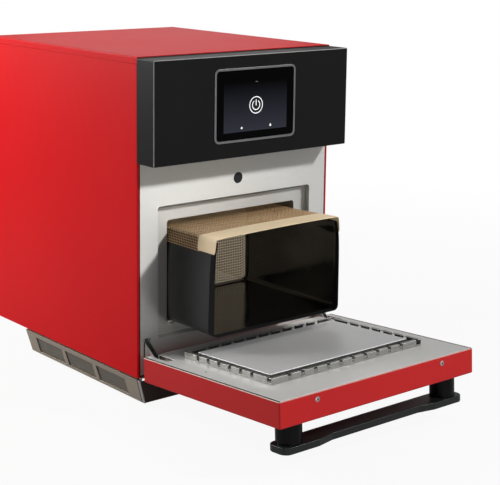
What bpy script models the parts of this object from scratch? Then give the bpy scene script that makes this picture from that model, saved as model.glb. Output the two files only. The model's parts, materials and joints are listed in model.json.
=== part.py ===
"""Free-standing speed oven with its door lying open and its liner drawn part of the way out.

Metres, +Z up, the front of the case faces -Y. Heights are counted from the floor. Depths are counted
from the stainless front frame, and the whole oven hangs on one empty that moves its middle over the origin.
"""
import math
from collections import namedtuple

import bmesh
import bpy
from mathutils import Matrix, Vector

# Clearances and stock
FIT_GAP = 0.0003
OVERRUN = 0.002
BODY_SHEET = 0.0012
THIN_SHEET = 0.001
EDGE_ROUND = 0.0015

# Case
CASE_WIDTH = 0.465
CASE_DEPTH = 0.521
ELECTRONICS_BAY = 0.211
FOOT_HEIGHT = 0.008
PLINTH_HEIGHT = 0.054
COVER_EDGE = 0.013
SIDE_RETURN = 0.004
REAR_INSET = 0.016
TRAY_EDGE = 0.009
CORNER_ROUND = 0.0018

# Front frame and its sunk opening
FRAME_SIDE_GAP = 0.0005
FRAME_RISE = 0.005
FRAME_RETURN = 0.010
RECESS_SIDE = 0.0462
RECESS_LOW = 0.0677
RECESS_HIGH = 0.319
RECESS_LIP = 0.007
RECESS_ROUND = 0.006
CHANNEL_DEPTH = 0.020
CHANNEL_FOOT = 0.0163
PLUG_X = 0.002
PLUG_RISE = 0.0339
PLUG_RADIUS = 0.011
PLUG_STEM_RADIUS = 0.0087
PLUG_STEM_LENGTH = 0.007
PLUG_CROWN = 0.0008

# Cavity
MOUTH_BORDER = 0.0298
MOUTH_SILL = 0.0203
MOUTH_LINTEL = 0.031
CAVITY_FRONT = 0.013
ROOM_BEHIND_CAVITY = 0.183
CAVITY_ROUND = 0.006
FLANGE_GROOVE = 0.0058
FLANGE_RETURN = 0.0055
RETURN_SLOT_WIDTH = 0.100
RETURN_SLOT_HEIGHT = 0.006
RETURN_SLOT_PITCH = 0.016
RETURN_SLOT_COUNT = 5
JET_RADIUS = 0.006
JET_COLUMNS = 4
JET_ROWS = 3
JET_PITCH = 0.060
CERAMIC_THICKNESS = 0.0049

# Insulation, jet duct and fan chamber
INSULATION_THICKNESS = 0.024
DUCT_SIDE_STEP = 0.0265
DUCT_HEIGHT = 0.032
DUCT_FRONT = 0.030
CHAMBER_SIDE_STEP = 0.0215
CHAMBER_FLOOR_STEP = 0.007
CHAMBER_DEPTH = 0.0557

# Blower
BLOWER_RISE = 0.107
BLOWER_RADIUS = 0.073
BLOWER_EYE_RADIUS = 0.045
BLOWER_VANE_DEPTH = 0.026
BLOWER_VANE_THICKNESS = 0.0015
BLOWER_VANES = 12
BLOWER_DISC = 0.002
BLOWER_BACK_GAP = 0.0118
BLOWER_HUB_RADIUS = 0.014
BLOWER_SHAFT_RADIUS = 0.006
BLOWER_SHAFT_LENGTH = 0.028
SHAFT_HOLE_EASE = 0.002
BLOWER_MOTOR_RADIUS = 0.045
BLOWER_MOTOR_LENGTH = 0.070
MOTOR_BORE_DEPTH = 0.020
HEATER_RADIUS = 0.092
HEATER_TUBE_RADIUS = 0.0035
HEATER_LEG_SHARE = 0.13
HEATER_SET_BACK = 0.020
HEATER_TAIL = 0.006

# Antenna, waveguide and magnetron
WELL_RADIUS = 0.086
WELL_DEPTH = 0.0208
WELL_FLANGE = 0.009
WELL_DRAIN_RADIUS = 0.012
ANTENNA_RADIUS = 0.062
ANTENNA_THICKNESS = 0.0015
ANTENNA_LIFT = 0.010
ANTENNA_SHAFT_RADIUS = 0.004
ANTENNA_SLOT_WIDTH = 0.016
WAVEGUIDE_WIDTH = 0.082
WAVEGUIDE_HEIGHT = 0.0404
WAVEGUIDE_LEAD = 0.045
WAVEGUIDE_REAR_GAP = 0.021
COUPLING_RADIUS = 0.020
ANTENNA_MOTOR_SIZE = 0.050
ANTENNA_MOTOR_FLOOR_GAP = 0.0003
ANTENNA_BORE_DEPTH = 0.010
MAGNETRON_WIDTH = 0.080
MAGNETRON_HEIGHT = 0.080
MAGNETRON_DEPTH = 0.080
MAGNETRON_DOME_RADIUS = 0.008
MAGNETRON_DOME_LENGTH = 0.012
MAGNETRON_FIN_GROOVE = 0.004
MAGNETRON_FIN_PITCH = 0.012
MAGNETRON_FIN_COUNT = 4
MAGNETRON_FIN_DEPTH = 0.014

# Electronics
SHELF_CLEARANCE = 0.0394
SHELF_EDGE = 0.010
SHELF_FRONT = 0.014
INVERTER_WIDTH = 0.130
INVERTER_DEPTH = 0.180
INVERTER_HEIGHT = 0.074
INVERTER_SIDE_GAP = 0.031
INVERTER_REAR_GAP = 0.025
INVERTER_GROOVE = 0.005
INVERTER_GROOVE_PITCH = 0.014
INVERTER_GROOVE_COUNT = 8
BOARD_WIDTH = 0.180
BOARD_DEPTH = 0.160
BOARD_THICKNESS = 0.0016
BOARD_SIDE_GAP = 0.031
BOARD_FRONT_GAP = 0.076
BOARD_STANDOFF = 0.008
BOARD_STANDOFF_RADIUS = 0.004
BOARD_INSET = 0.010
FAN_SIZE = 0.119
FAN_DEPTH = 0.038
FAN_SIDE_GAP = 0.0515
FAN_RISE = 0.015
FAN_DUCT_WALL = 0.0035
FAN_TIP_GAP = 0.002
FAN_HUB_RADIUS = 0.020
FAN_MOTOR_DISC = 0.006
FAN_STRUT_WIDTH = 0.005
FAN_HUB_LENGTH = 0.024
FAN_SHAFT_RADIUS = 0.003
FAN_SHAFT_LENGTH = 0.004
FAN_BLADES = 5
FAN_BLADE_CHORD = 0.020
FAN_BLADE_THICKNESS = 0.0015
FAN_BLADE_PITCH = math.radians(38)
GRILLE_RADIUS = 0.052
GRILLE_SLOT = 0.005
GRILLE_PITCH = 0.0095
GLAND_SIDE_GAP = 0.061
GLAND_HEIGHT = 0.040
GLAND_STEM_RADIUS = 0.0097
GLAND_FLANGE_RADIUS = 0.014
GLAND_FLANGE = 0.004
GLAND_NOSE_RADIUS = 0.009
GLAND_NOSE = 0.009
GLAND_INSIDE = 0.010
GLAND_BORE_RADIUS = 0.004
SWITCH_WIDTH = 0.014
SWITCH_DEPTH = 0.022
SWITCH_HEIGHT = 0.060

# Plinth
PLINTH_REAR_STEP = 0.111
PLINTH_SIDE_STEP = 0.004
PLINTH_SIDE_LEAN = 0.0155
PLINTH_TOP_GAP = 0.0055
PLINTH_FRONT_LEAN = 0.005
PLINTH_SHEET = 0.002
PLINTH_LEDGE = 0.018
PLINTH_LEDGE_STEP = 0.0045
PLINTH_FRONT_INSET = 0.0015
WINDOW_FRONT = 0.054
WINDOW_REAR = 0.034
WINDOW_BAR = 0.0125
WINDOW_COUNT = 3
WINDOW_LOW = 0.006
WINDOW_HEIGHT = 0.032
FILTER_THICKNESS = 0.001
FILTER_MARGIN = 0.006
FOOT_RADIUS = 0.018
FOOT_PAD = 0.012
FOOT_CHAMFER = 0.002
FOOT_STEM_RADIUS = 0.006
FOOT_INSET_X = 0.0675
FOOT_INSET_Y = 0.045

# Fascia and screen
FASCIA_OVERHANG = 0.0005
FASCIA_DEPTH = 0.0517
FASCIA_HEIGHT = 0.1899
FASCIA_TOP_STEP = 0.0025
SCREEN_WIDTH = 0.1946
SCREEN_HEIGHT = 0.1375
SCREEN_DROP = 0.0235
SCREEN_ROUND = 0.0105
BEZEL_PROUD = 0.0009
BEZEL_FACE = 0.003
BEZEL_COLLAR = 0.001
BEZEL_COLLAR_DEPTH = 0.006
GLASS_THICKNESS = 0.003
GLASS_SINK = 0.0005
DISPLAY_SIDE_STEP = 0.0153
DISPLAY_LOW_STEP = 0.0145
DISPLAY_HIGH_STEP = 0.023
DISPLAY_DEPTH = 0.011

# Door, in the place it has when shut
DOOR_OVERHANG = 0.002
DOOR_TOP_GAP = 0.0076
DOOR_THICKNESS = 0.047
DOOR_LOW = 0.014
DOOR_SEAL_GAP = 0.0015
DOOR_WALL = 0.0015
DOOR_ROUND = 0.003
DOOR_OPEN = math.radians(86.33)
INNER_INSET = 0.003
CORE_NOTCH = 0.0089
CORE_NOTCH_HEIGHT = 0.070
CHOKE_SIDE_CLEARANCE = 0.0043
CHOKE_LOW_CLEARANCE = 0.0035
CHOKE_HIGH_CLEARANCE = 0.003
CHOKE_DEPTH = 0.012
CHOKE_SHEET = 0.001
CHOKE_LIP = 0.006
CHOKE_ROOT = 0.003
CHOKE_GAP = 0.008
CHOKE_CORNER = 0.0124
CHOKE_END_FINGER = 1.33
CHOKE_FINGERS_ACROSS = 11
CHOKE_FINGERS_UP = 7
PLATE_SIDE_LAP = 0.0102
PLATE_LOW_STEP = 0.002
PLATE_HIGH_LAP = 0.006
PLATE_ROUND = 0.002

# Handle
POST_SIDE_INSET = 0.0475
POST_RADIUS = 0.023
POST_EDGE_INSET = 0.034
BAR_END_INSET = 0.017
BAR_WIDTH = 0.0485
BAR_EDGE_INSET = 0.008
BAR_BACK = 0.0853
BAR_THICKNESS = 0.0125
BAR_CORNER = 0.015
BAR_EDGE = 0.002
BAR_WAIST_FLAT_INSET = 0.1125
BAR_WAIST_END_INSET = 0.0765
BAR_WAIST_CUT = 0.008

# Hinges
AXIS_Y = -0.028
AXIS_RISE = 0.0065
PIN_RADIUS = 0.004
PIN_LENGTH = 0.0135
HINGE_SIDE_INSET = 0.0215
SLOT_WIDTH = 0.015
FRAME_SLOT_LOW_EASE = 0.002
FRAME_SLOT_HIGH_EASE = 0.006
DOOR_SLOT_DEPTH = 0.040
BRACKET_WIDTH = 0.012
BRACKET_CHEEK = 0.002
BRACKET_NOSE_REACH = 0.008
BRACKET_NOSE_RISE = 0.0135
BRACKET_SHOULDER_REACH = 0.002
BRACKET_SHOULDER_RISE = 0.0275
BRACKET_DROP = 0.0085
BRACKET_NECK_RISE = 0.0475
BRACKET_TAIL_RISE = 0.027
BRACKET_TAIL = 0.020
BRACKET_WEB = 0.004
KNUCKLE_RADIUS = 0.008
KNUCKLE_FRONT_INSET = 0.0045
KNUCKLE_BACK_INSET = 0.0105
KNUCKLE_HIGH = 0.130
KNUCKLE_NECK_HIGH = 0.040

# Liner
LINER_SIDE_CLEARANCE = 0.001
LINER_TOP_STEP = 0.0048
LINER_BAND_STEP = 0.002
LINER_LOW_STEP = 0.0005
LINER_HEADROOM = 0.0135
LINER_BAND = 0.027
LINER_MID_RISE = 0.090
LINER_CORNER = 0.012
LINER_TOP_ROUND = 0.004
LINER_FRONT = -0.127
LINER_BACK_CLEARANCE = 0.043
LINER_SHEET = 0.0008
BINDING_LENGTH = 0.053
LINER_BACK_RISE = 0.016
LINER_BACK_STEP = 0.0017

# Places worked out from the sizes above
CASE_BASE = FOOT_HEIGHT + PLINTH_HEIGHT
CASE_SIDE = CASE_WIDTH / 2
CASE_INSIDE = CASE_SIDE - BODY_SHEET - FIT_GAP
REAR_FACE = CASE_DEPTH - REAR_INSET
FRAME_WIDTH = CASE_WIDTH - 2 * (SIDE_RETURN + FRAME_SIDE_GAP)
RECESS_WIDTH = CASE_WIDTH - 2 * RECESS_SIDE
PLUG_HEIGHT = RECESS_HIGH + PLUG_RISE
CAVITY_WIDTH = RECESS_WIDTH - 2 * MOUTH_BORDER
CAVITY_LOW = RECESS_LOW + MOUTH_SILL
CAVITY_HIGH = RECESS_HIGH - MOUTH_LINTEL
CAVITY_DEPTH = CASE_DEPTH - CAVITY_FRONT - ROOM_BEHIND_CAVITY
CAVITY_BACK = CAVITY_FRONT + CAVITY_DEPTH
CAVITY_SHELL_SIDE = CAVITY_WIDTH / 2 + THIN_SHEET
CAVITY_SHELL_BACK = CAVITY_BACK + THIN_SHEET
CAVITY_MIDDLE_Y = CAVITY_FRONT + CAVITY_DEPTH / 2
DUCT_WIDTH = CAVITY_WIDTH - 2 * DUCT_SIDE_STEP
DUCT_LOW = CAVITY_HIGH + THIN_SHEET + FIT_GAP
DUCT_HIGH = DUCT_LOW + DUCT_HEIGHT
CHAMBER_WIDTH = CAVITY_WIDTH - 2 * CHAMBER_SIDE_STEP
CHAMBER_LOW = CAVITY_LOW + CHAMBER_FLOOR_STEP
CHAMBER_FRONT = CAVITY_SHELL_BACK + FIT_GAP
CHAMBER_BACK = CHAMBER_FRONT + CHAMBER_DEPTH
BLOWER_HEIGHT = CAVITY_LOW + BLOWER_RISE
BLOWER_DISC_BACK = CHAMBER_BACK - BODY_SHEET - BLOWER_BACK_GAP
WELL_TOP = CAVITY_LOW - THIN_SHEET - FIT_GAP
WELL_LOW = WELL_TOP - WELL_DEPTH - BODY_SHEET
GUIDE_HIGH = WELL_LOW - FIT_GAP
GUIDE_LOW = GUIDE_HIGH - WAVEGUIDE_HEIGHT
WAVEGUIDE_REAR = REAR_FACE - WAVEGUIDE_REAR_GAP
SHELF_HEIGHT = DUCT_HIGH + FIT_GAP + INSULATION_THICKNESS + SHELF_CLEARANCE
SHELF_TOP = SHELF_HEIGHT + BODY_SHEET
CASE_HEIGHT = SHELF_HEIGHT + ELECTRONICS_BAY
CASE_TOP = CASE_BASE + CASE_HEIGHT
INVERTER_X = INVERTER_SIDE_GAP + INVERTER_WIDTH / 2 - CASE_INSIDE
INVERTER_Y = REAR_FACE - INVERTER_REAR_GAP - INVERTER_DEPTH / 2
BOARD_X = CASE_INSIDE - BOARD_SIDE_GAP - BOARD_WIDTH / 2
BOARD_Y = SHELF_FRONT + BOARD_FRONT_GAP + BOARD_DEPTH / 2
FAN_X = CASE_INSIDE - FAN_SIDE_GAP - FAN_SIZE / 2
FAN_FRONT = REAR_FACE - BODY_SHEET - FIT_GAP - FAN_DEPTH
FAN_HEIGHT = SHELF_TOP + FAN_RISE + FAN_SIZE / 2
FAN_DUCT_RADIUS = FAN_SIZE / 2 - FAN_DUCT_WALL
FAN_WHEEL_RADIUS = FAN_DUCT_RADIUS - FAN_TIP_GAP
GLAND_X = GLAND_SIDE_GAP - CASE_INSIDE
PLINTH_DEPTH = CASE_DEPTH - PLINTH_REAR_STEP
PLINTH_TOP_WIDTH = CASE_WIDTH - 2 * PLINTH_SIDE_STEP
PLINTH_BOTTOM_WIDTH = PLINTH_TOP_WIDTH - 2 * PLINTH_SIDE_LEAN
WINDOW_PITCH = (PLINTH_DEPTH - WINDOW_FRONT - WINDOW_REAR + WINDOW_BAR) / WINDOW_COUNT
WINDOW_LENGTH = WINDOW_PITCH - WINDOW_BAR
FASCIA_WIDTH = CASE_WIDTH + 2 * FASCIA_OVERHANG
FASCIA_HIGH = CASE_HEIGHT - FASCIA_TOP_STEP
FASCIA_LOW = FASCIA_HIGH - FASCIA_HEIGHT
SCREEN_HIGH = FASCIA_HIGH - SCREEN_DROP
SCREEN_LOW = SCREEN_HIGH - SCREEN_HEIGHT
SCREEN_MIDDLE = (SCREEN_LOW + SCREEN_HIGH) / 2
DISPLAY_WIDTH = SCREEN_WIDTH - 2 * DISPLAY_SIDE_STEP
DISPLAY_LOW = SCREEN_LOW + DISPLAY_LOW_STEP
DISPLAY_HIGH = SCREEN_HIGH - DISPLAY_HIGH_STEP
DOOR_WIDTH = CASE_WIDTH + 2 * DOOR_OVERHANG
DOOR_HIGH = FASCIA_LOW - DOOR_TOP_GAP
DOOR_BACK_Y = -DOOR_SEAL_GAP
DOOR_FRONT_Y = DOOR_BACK_Y - DOOR_THICKNESS
AXIS_HEIGHT = DOOR_LOW + AXIS_RISE
HINGE_X = CASE_SIDE - HINGE_SIDE_INSET
BRACKET_LOW = AXIS_HEIGHT - BRACKET_DROP
BRACKET_NECK_HIGH = AXIS_HEIGHT + BRACKET_NECK_RISE
BRACKET_TAIL_HIGH = BRACKET_NECK_HIGH + BRACKET_TAIL_RISE
KNUCKLE_HALF = BRACKET_WIDTH / 2 - BRACKET_CHEEK - FIT_GAP
CORE_WIDTH = 2 * (HINGE_X - KNUCKLE_HALF - FIT_GAP)
BAR_HIGH = DOOR_HIGH - BAR_EDGE_INSET
BAR_LOW = BAR_HIGH - BAR_WIDTH
BAR_HALF_LENGTH = DOOR_WIDTH / 2 - BAR_END_INSET
POST_X = DOOR_WIDTH / 2 - POST_SIDE_INSET
POST_HEIGHT = DOOR_HIGH - POST_EDGE_INSET
LINER_MID_WIDTH = CAVITY_WIDTH - 2 * LINER_SIDE_CLEARANCE
LINER_TOP_WIDTH = LINER_MID_WIDTH - 2 * LINER_TOP_STEP
LINER_BAND_WIDTH = LINER_MID_WIDTH - 2 * LINER_BAND_STEP
LINER_LOW_WIDTH = LINER_MID_WIDTH - 2 * LINER_LOW_STEP
LINER_HIGH = CAVITY_HIGH - LINER_HEADROOM
LINER_LENGTH = CAVITY_DEPTH - LINER_BACK_CLEARANCE
LINER_MID_HEIGHT = CAVITY_LOW + LINER_MID_RISE
LINER_BACK_LOW = CAVITY_LOW + LINER_BACK_RISE
LINER_BACK_WIDTH = LINER_TOP_WIDTH - 2 * LINER_BACK_STEP

STEEL = ((0.56, 0.55, 0.53), 0.32, 1.0)
ZINC = ((0.42, 0.42, 0.41), 0.45, 1.0)
DARK_PAINT = ((0.022, 0.021, 0.021), 0.38, 0.0)
RED_PAINT = ((0.55, 0.012, 0.020), 0.25, 0.0)
BLACK_PLASTIC = ((0.012, 0.012, 0.013), 0.42, 0.0)
LINER_BLACK = ((0.010, 0.010, 0.012), 0.55, 0.0)
MESH_BROWN = ((0.22, 0.15, 0.09), 0.60, 0.0)
CREAM = ((0.75, 0.60, 0.40), 0.65, 0.0)
CERAMIC = ((0.62, 0.58, 0.50), 0.50, 0.0)
WOOL = ((0.70, 0.68, 0.60), 0.95, 0.0)
GLASS_BLACK = ((0.010, 0.010, 0.013), 0.06, 0.0)
BOARD_GREEN = ((0.02, 0.16, 0.06), 0.45, 0.0)
PLINTH_TAUPE = ((0.26, 0.22, 0.18), 0.40, 0.0)
FILTER_GREY = ((0.12, 0.11, 0.09), 0.60, 0.0)

Carrier = namedtuple("Carrier", "empty pivot")


def clear_scene():
    for obj in list(bpy.data.objects):
        bpy.data.objects.remove(obj, do_unlink=True)


def new_collection(name):
    collection = bpy.data.collections.new(name)
    bpy.context.scene.collection.children.link(collection)
    return collection


def new_carrier(name, pivot, parent=None, angle=0.0):
    """An empty at a joint's axis, or at the oven's own reference point."""
    empty = bpy.data.objects.new(name, None)
    parts.objects.link(empty)
    empty.location = Vector(pivot)
    if parent is not None:
        empty.parent = parent.empty
        empty.location = Vector(pivot) - Vector(parent.pivot)
    empty.rotation_euler = (angle, 0.0, 0.0)
    return Carrier(empty, pivot)


def settle(name, mesh, place, carrier, look):
    """Put a mesh in the scene as a part, or as a cutter when it has no look."""
    obj = bpy.data.objects.new(name, mesh)
    obj.parent = carrier.empty
    obj.location = Vector(place) - Vector(carrier.pivot)
    if look is None:
        cutters.objects.link(obj)
        obj.hide_render = True
        obj.display_type = "WIRE"
        return obj
    parts.objects.link(obj)
    colour, roughness, metallic = look
    material = bpy.data.materials.new(name)
    material.use_nodes = True
    shader = material.node_tree.nodes["Principled BSDF"]
    shader.inputs["Base Color"].default_value = (*colour, 1.0)
    shader.inputs["Roughness"].default_value = roughness
    shader.inputs["Metallic"].default_value = metallic
    mesh.materials.append(material)
    return obj


def finish_mesh(name, shape):
    mesh = bpy.data.meshes.new(name)
    shape.to_mesh(mesh)
    shape.free()
    mesh.shade_smooth()
    mesh.set_sharp_from_angle(angle=math.radians(30))
    return mesh


def add_box(shape, x, y, z, origin=(0.0, 0.0, 0.0)):
    """Add a box between the low and high values of x, y and z, measured from origin."""
    size = [high - low for low, high in (x, y, z)]
    middle = [(low + high) / 2 - base for (low, high), base in zip((x, y, z), origin)]
    matrix = Matrix.Translation(middle) @ Matrix.Diagonal((*size, 1.0))
    return bmesh.ops.create_cube(shape, size=1.0, matrix=matrix)["verts"]


def add_rod(shape, centre, radius, length, axis, sides, origin=(0.0, 0.0, 0.0)):
    """Add a cylinder about centre, along the axis X, Y or Z."""
    turn = {"X": Matrix.Rotation(math.pi / 2, 4, "Y"), "Y": Matrix.Rotation(math.pi / 2, 4, "X"),
            "Z": Matrix.Identity(4)}[axis]
    matrix = Matrix.Translation(Vector(centre) - Vector(origin)) @ turn
    bmesh.ops.create_cone(shape, cap_ends=True, segments=sides, radius1=radius, radius2=radius,
                          depth=length, matrix=matrix)


def box(name, x, y, z, carrier, look=None):
    shape = bmesh.new()
    middle = [(low + high) / 2 for low, high in (x, y, z)]
    add_box(shape, x, y, z, middle)
    return settle(name, finish_mesh(name, shape), middle, carrier, look)


def rod(name, centre, radius, length, axis, carrier, look=None, sides=32):
    shape = bmesh.new()
    add_rod(shape, centre, radius, length, axis, sides, centre)
    return settle(name, finish_mesh(name, shape), centre, carrier, look)


def group(name, carrier, boxes=(), rods=(), sides=16):
    """Several boxes and cylinders that stay apart from each other, as one cutter or one joining tool."""
    shape = bmesh.new()
    for x, y, z in boxes:
        add_box(shape, x, y, z, carrier.pivot)
    for centre, radius, length, axis in rods:
        add_rod(shape, centre, radius, length, axis, sides, carrier.pivot)
    return settle(name, finish_mesh(name, shape), carrier.pivot, carrier, None)


def pan(name, x, y, z, open_sides, wall, carrier, look=None, corner=0.0):
    """A folded box of sheet that is open on the named sides, such as +Y."""
    shape = bmesh.new()
    middle = [(low + high) / 2 for low, high in (x, y, z)]
    add_box(shape, x, y, z, middle)
    shape.normal_update()
    wanted = {"+X": (1, 0, 0), "-X": (-1, 0, 0), "+Y": (0, 1, 0), "-Y": (0, -1, 0),
              "+Z": (0, 0, 1), "-Z": (0, 0, -1)}
    gone = [face for face in shape.faces
            if any(face.normal.dot(Vector(wanted[side])) > 0 for side in open_sides)]
    bmesh.ops.delete(shape, geom=gone, context="FACES")
    obj = settle(name, finish_mesh(name, shape), middle, carrier, look)
    if corner:
        soften(obj, corner)
    thicken(obj, wall)
    return obj


def outline_solid(name, outline, span, axis, carrier, look=None):
    """A flat outline, drawn in the two other directions in their X, Y, Z order, given depth along axis."""
    low, high = span
    curve = bpy.data.curves.new(name, "CURVE")
    curve.dimensions = "2D"
    curve.fill_mode = "BOTH"
    curve.extrude = (high - low) / 2
    spline = curve.splines.new("POLY")
    spline.points.add(len(outline) - 1)
    for point, (u, v) in zip(spline.points, outline):
        point.co = (u, v, 0.0, 1.0)
    spline.use_cyclic_u = True
    drawn = bpy.data.objects.new(name, curve)
    parts.objects.link(drawn)
    mesh = mesh_of(drawn)
    middle = (low + high) / 2
    turn = {"X": Matrix(((0, 0, 1, 0), (1, 0, 0, 0), (0, 1, 0, 0), (0, 0, 0, 1))),
            "Y": Matrix(((1, 0, 0, 0), (0, 0, -1, 0), (0, 1, 0, 0), (0, 0, 0, 1))),
            "Z": Matrix.Identity(4)}[axis]
    mesh.transform(turn)
    place = {"X": (middle, 0.0, 0.0), "Y": (0.0, middle, 0.0), "Z": (0.0, 0.0, middle)}[axis]
    return settle(name, mesh, place, carrier, look)


def mesh_of(drawn):
    """The mesh of a curve object, welded, with the curve removed."""
    depsgraph = bpy.context.evaluated_depsgraph_get()
    mesh = bpy.data.meshes.new_from_object(drawn.evaluated_get(depsgraph))
    bpy.data.objects.remove(drawn, do_unlink=True)
    shape = bmesh.new()
    shape.from_mesh(mesh)
    bmesh.ops.remove_doubles(shape, verts=shape.verts, dist=FIT_GAP / 30)
    bmesh.ops.recalc_face_normals(shape, faces=shape.faces)
    shape.to_mesh(mesh)
    shape.free()
    mesh.materials.clear()
    mesh.shade_smooth()
    mesh.set_sharp_from_angle(angle=math.radians(30))
    return mesh


def turned(name, profile, place, carrier, look=None, sides=32, closed=False):
    """A profile of (radius, height) points, turned about the vertical through place."""
    mesh = bpy.data.meshes.new(name)
    edges = [(i, i + 1) for i in range(len(profile) - 1)]
    if closed:
        edges.append((len(profile) - 1, 0))
    mesh.from_pydata([(radius, 0.0, height) for radius, height in profile], edges, [])
    obj = settle(name, mesh, place, carrier, look)
    screw = obj.modifiers.new("turn", "SCREW")
    screw.axis = "Z"
    screw.steps = sides
    screw.render_steps = sides
    screw.use_merge_vertices = True
    screw.merge_threshold = FIT_GAP / 30
    return obj


def arc(u, v, radius, start, stop, steps):
    """Points on an arc about (u, v), angles in degrees."""
    angles = [math.radians(start + (stop - start) * i / steps) for i in range(steps + 1)]
    return [(u + radius * math.cos(a), v + radius * math.sin(a)) for a in angles]


def rounded(u, v, radius, steps=4):
    """A rectangle with round corners between the low and high values of u and v."""
    (u0, u1), (v0, v1) = u, v
    return (arc(u1 - radius, v0 + radius, radius, -90, 0, steps) + arc(u1 - radius, v1 - radius, radius, 0,
                                                                       90, steps)
            + arc(u0 + radius, v1 - radius, radius, 90, 180, steps)
            + arc(u0 + radius, v0 + radius, radius, 180, 270, steps))


def ribbon(path, thickness):
    """The closed outline of a bent sheet: the path, and the same path moved to its left by the thickness."""
    inner = []
    for i, point in enumerate(path):
        before = Vector(path[max(i - 1, 0)])
        after = Vector(path[min(i + 1, len(path) - 1)])
        here = Vector(point)
        ahead = (after - here).normalized() if i < len(path) - 1 else (here - before).normalized()
        behind = (here - before).normalized() if i else ahead
        left_ahead = Vector((-ahead.y, ahead.x))
        left_behind = Vector((-behind.y, behind.x))
        normal = (left_ahead + left_behind).normalized()
        inner.append(tuple(here + normal * (thickness / normal.dot(left_ahead))))
    return list(path) + inner[::-1]


def soften(obj, width, segments=2):
    bevel = obj.modifiers.new("edges", "BEVEL")
    bevel.width = width
    bevel.segments = segments
    bevel.limit_method = "ANGLE"
    bevel.angle_limit = math.radians(40)


def thicken(obj, wall):
    solidify = obj.modifiers.new("wall", "SOLIDIFY")
    solidify.thickness = wall
    solidify.offset = -1.0
    solidify.use_even_offset = True


def cut(obj, tool, solver="EXACT"):
    difference = obj.modifiers.new(tool.name, "BOOLEAN")
    difference.operation = "DIFFERENCE"
    difference.solver = solver
    difference.object = tool


def join(obj, tool):
    union = obj.modifiers.new(tool.name, "BOOLEAN")
    union.operation = "UNION"
    union.solver = "EXACT"
    union.object = tool


def up(height):
    """A height above the bottom edge of the case, counted from the floor."""
    return CASE_BASE + height


def wide(width):
    return (-width / 2, width / 2)


def grown(span, amount):
    return (span[0] - amount, span[1] + amount)


def add_side_panels(cabinet):
    """Each side is one folded sheet with a narrow return round the front corner."""
    top = CASE_TOP - COVER_EDGE - FIT_GAP
    for name, side in (("side_panel_left", -1), ("side_panel_right", 1)):
        corner = arc(CASE_SIDE - CORNER_ROUND, CORNER_ROUND, CORNER_ROUND, -90, 0, 3)
        path = [(CASE_SIDE - SIDE_RETURN, 0.0), *corner, (CASE_SIDE, CASE_DEPTH)]
        outline = [(side * x, y) for x, y in ribbon(path, BODY_SHEET)]
        outline_solid(name, outline, (CASE_BASE, top), "Z", cabinet, RED_PAINT)


def add_top_cover(cabinet):
    """The cover is folded down over both sides, where its edge lies flush above the side panels."""
    low = CASE_TOP - COVER_EDGE
    left = arc(-CASE_SIDE + CORNER_ROUND, CASE_TOP - CORNER_ROUND, CORNER_ROUND, 180, 90, 3)
    right = arc(CASE_SIDE - CORNER_ROUND, CASE_TOP - CORNER_ROUND, CORNER_ROUND, 90, 0, 3)
    path = [(-CASE_SIDE, low), *left, *right, (CASE_SIDE, low)]
    outline_solid("top_cover", ribbon(path[::-1], BODY_SHEET), (0.0, CASE_DEPTH), "Y", cabinet, RED_PAINT)


def add_rear_panel(cabinet):
    """The back sheet stands inside the side panels, with a slotted grille for the cooling fan."""
    low = CASE_BASE + BODY_SHEET + FIT_GAP
    high = CASE_TOP - BODY_SHEET - FIT_GAP
    panel = box("rear_panel", wide(2 * CASE_INSIDE), (REAR_FACE - BODY_SHEET, REAR_FACE), (low, high),
                cabinet, ZINC)
    count = int(GRILLE_RADIUS / GRILLE_PITCH)
    slots = []
    for i in range(-count, count + 1):
        x = FAN_X + i * GRILLE_PITCH
        reach = math.sqrt(GRILLE_RADIUS ** 2 - (i * GRILLE_PITCH) ** 2)
        slots.append(((x - GRILLE_SLOT / 2, x + GRILLE_SLOT / 2),
                      grown((REAR_FACE - BODY_SHEET, REAR_FACE), OVERRUN),
                      (up(FAN_HEIGHT) - reach, up(FAN_HEIGHT) + reach)))
    cut(panel, group("rear_grille_cutter", cabinet, boxes=slots))
    hole = rod("gland_hole_cutter", (GLAND_X, REAR_FACE, up(GLAND_HEIGHT)), GLAND_STEM_RADIUS + FIT_GAP,
               2 * (BODY_SHEET + OVERRUN), "Y", cabinet)
    cut(panel, hole)


def add_base_tray(cabinet):
    """A shallow tray closes the case below, with its edges folded up."""
    front = FRAME_RETURN + FIT_GAP
    back = REAR_FACE - BODY_SHEET - FIT_GAP
    pan("base_tray", wide(2 * CASE_INSIDE), (front, back), (CASE_BASE, CASE_BASE + TRAY_EDGE), ("+Z",),
        BODY_SHEET,
        cabinet, ZINC)


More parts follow.
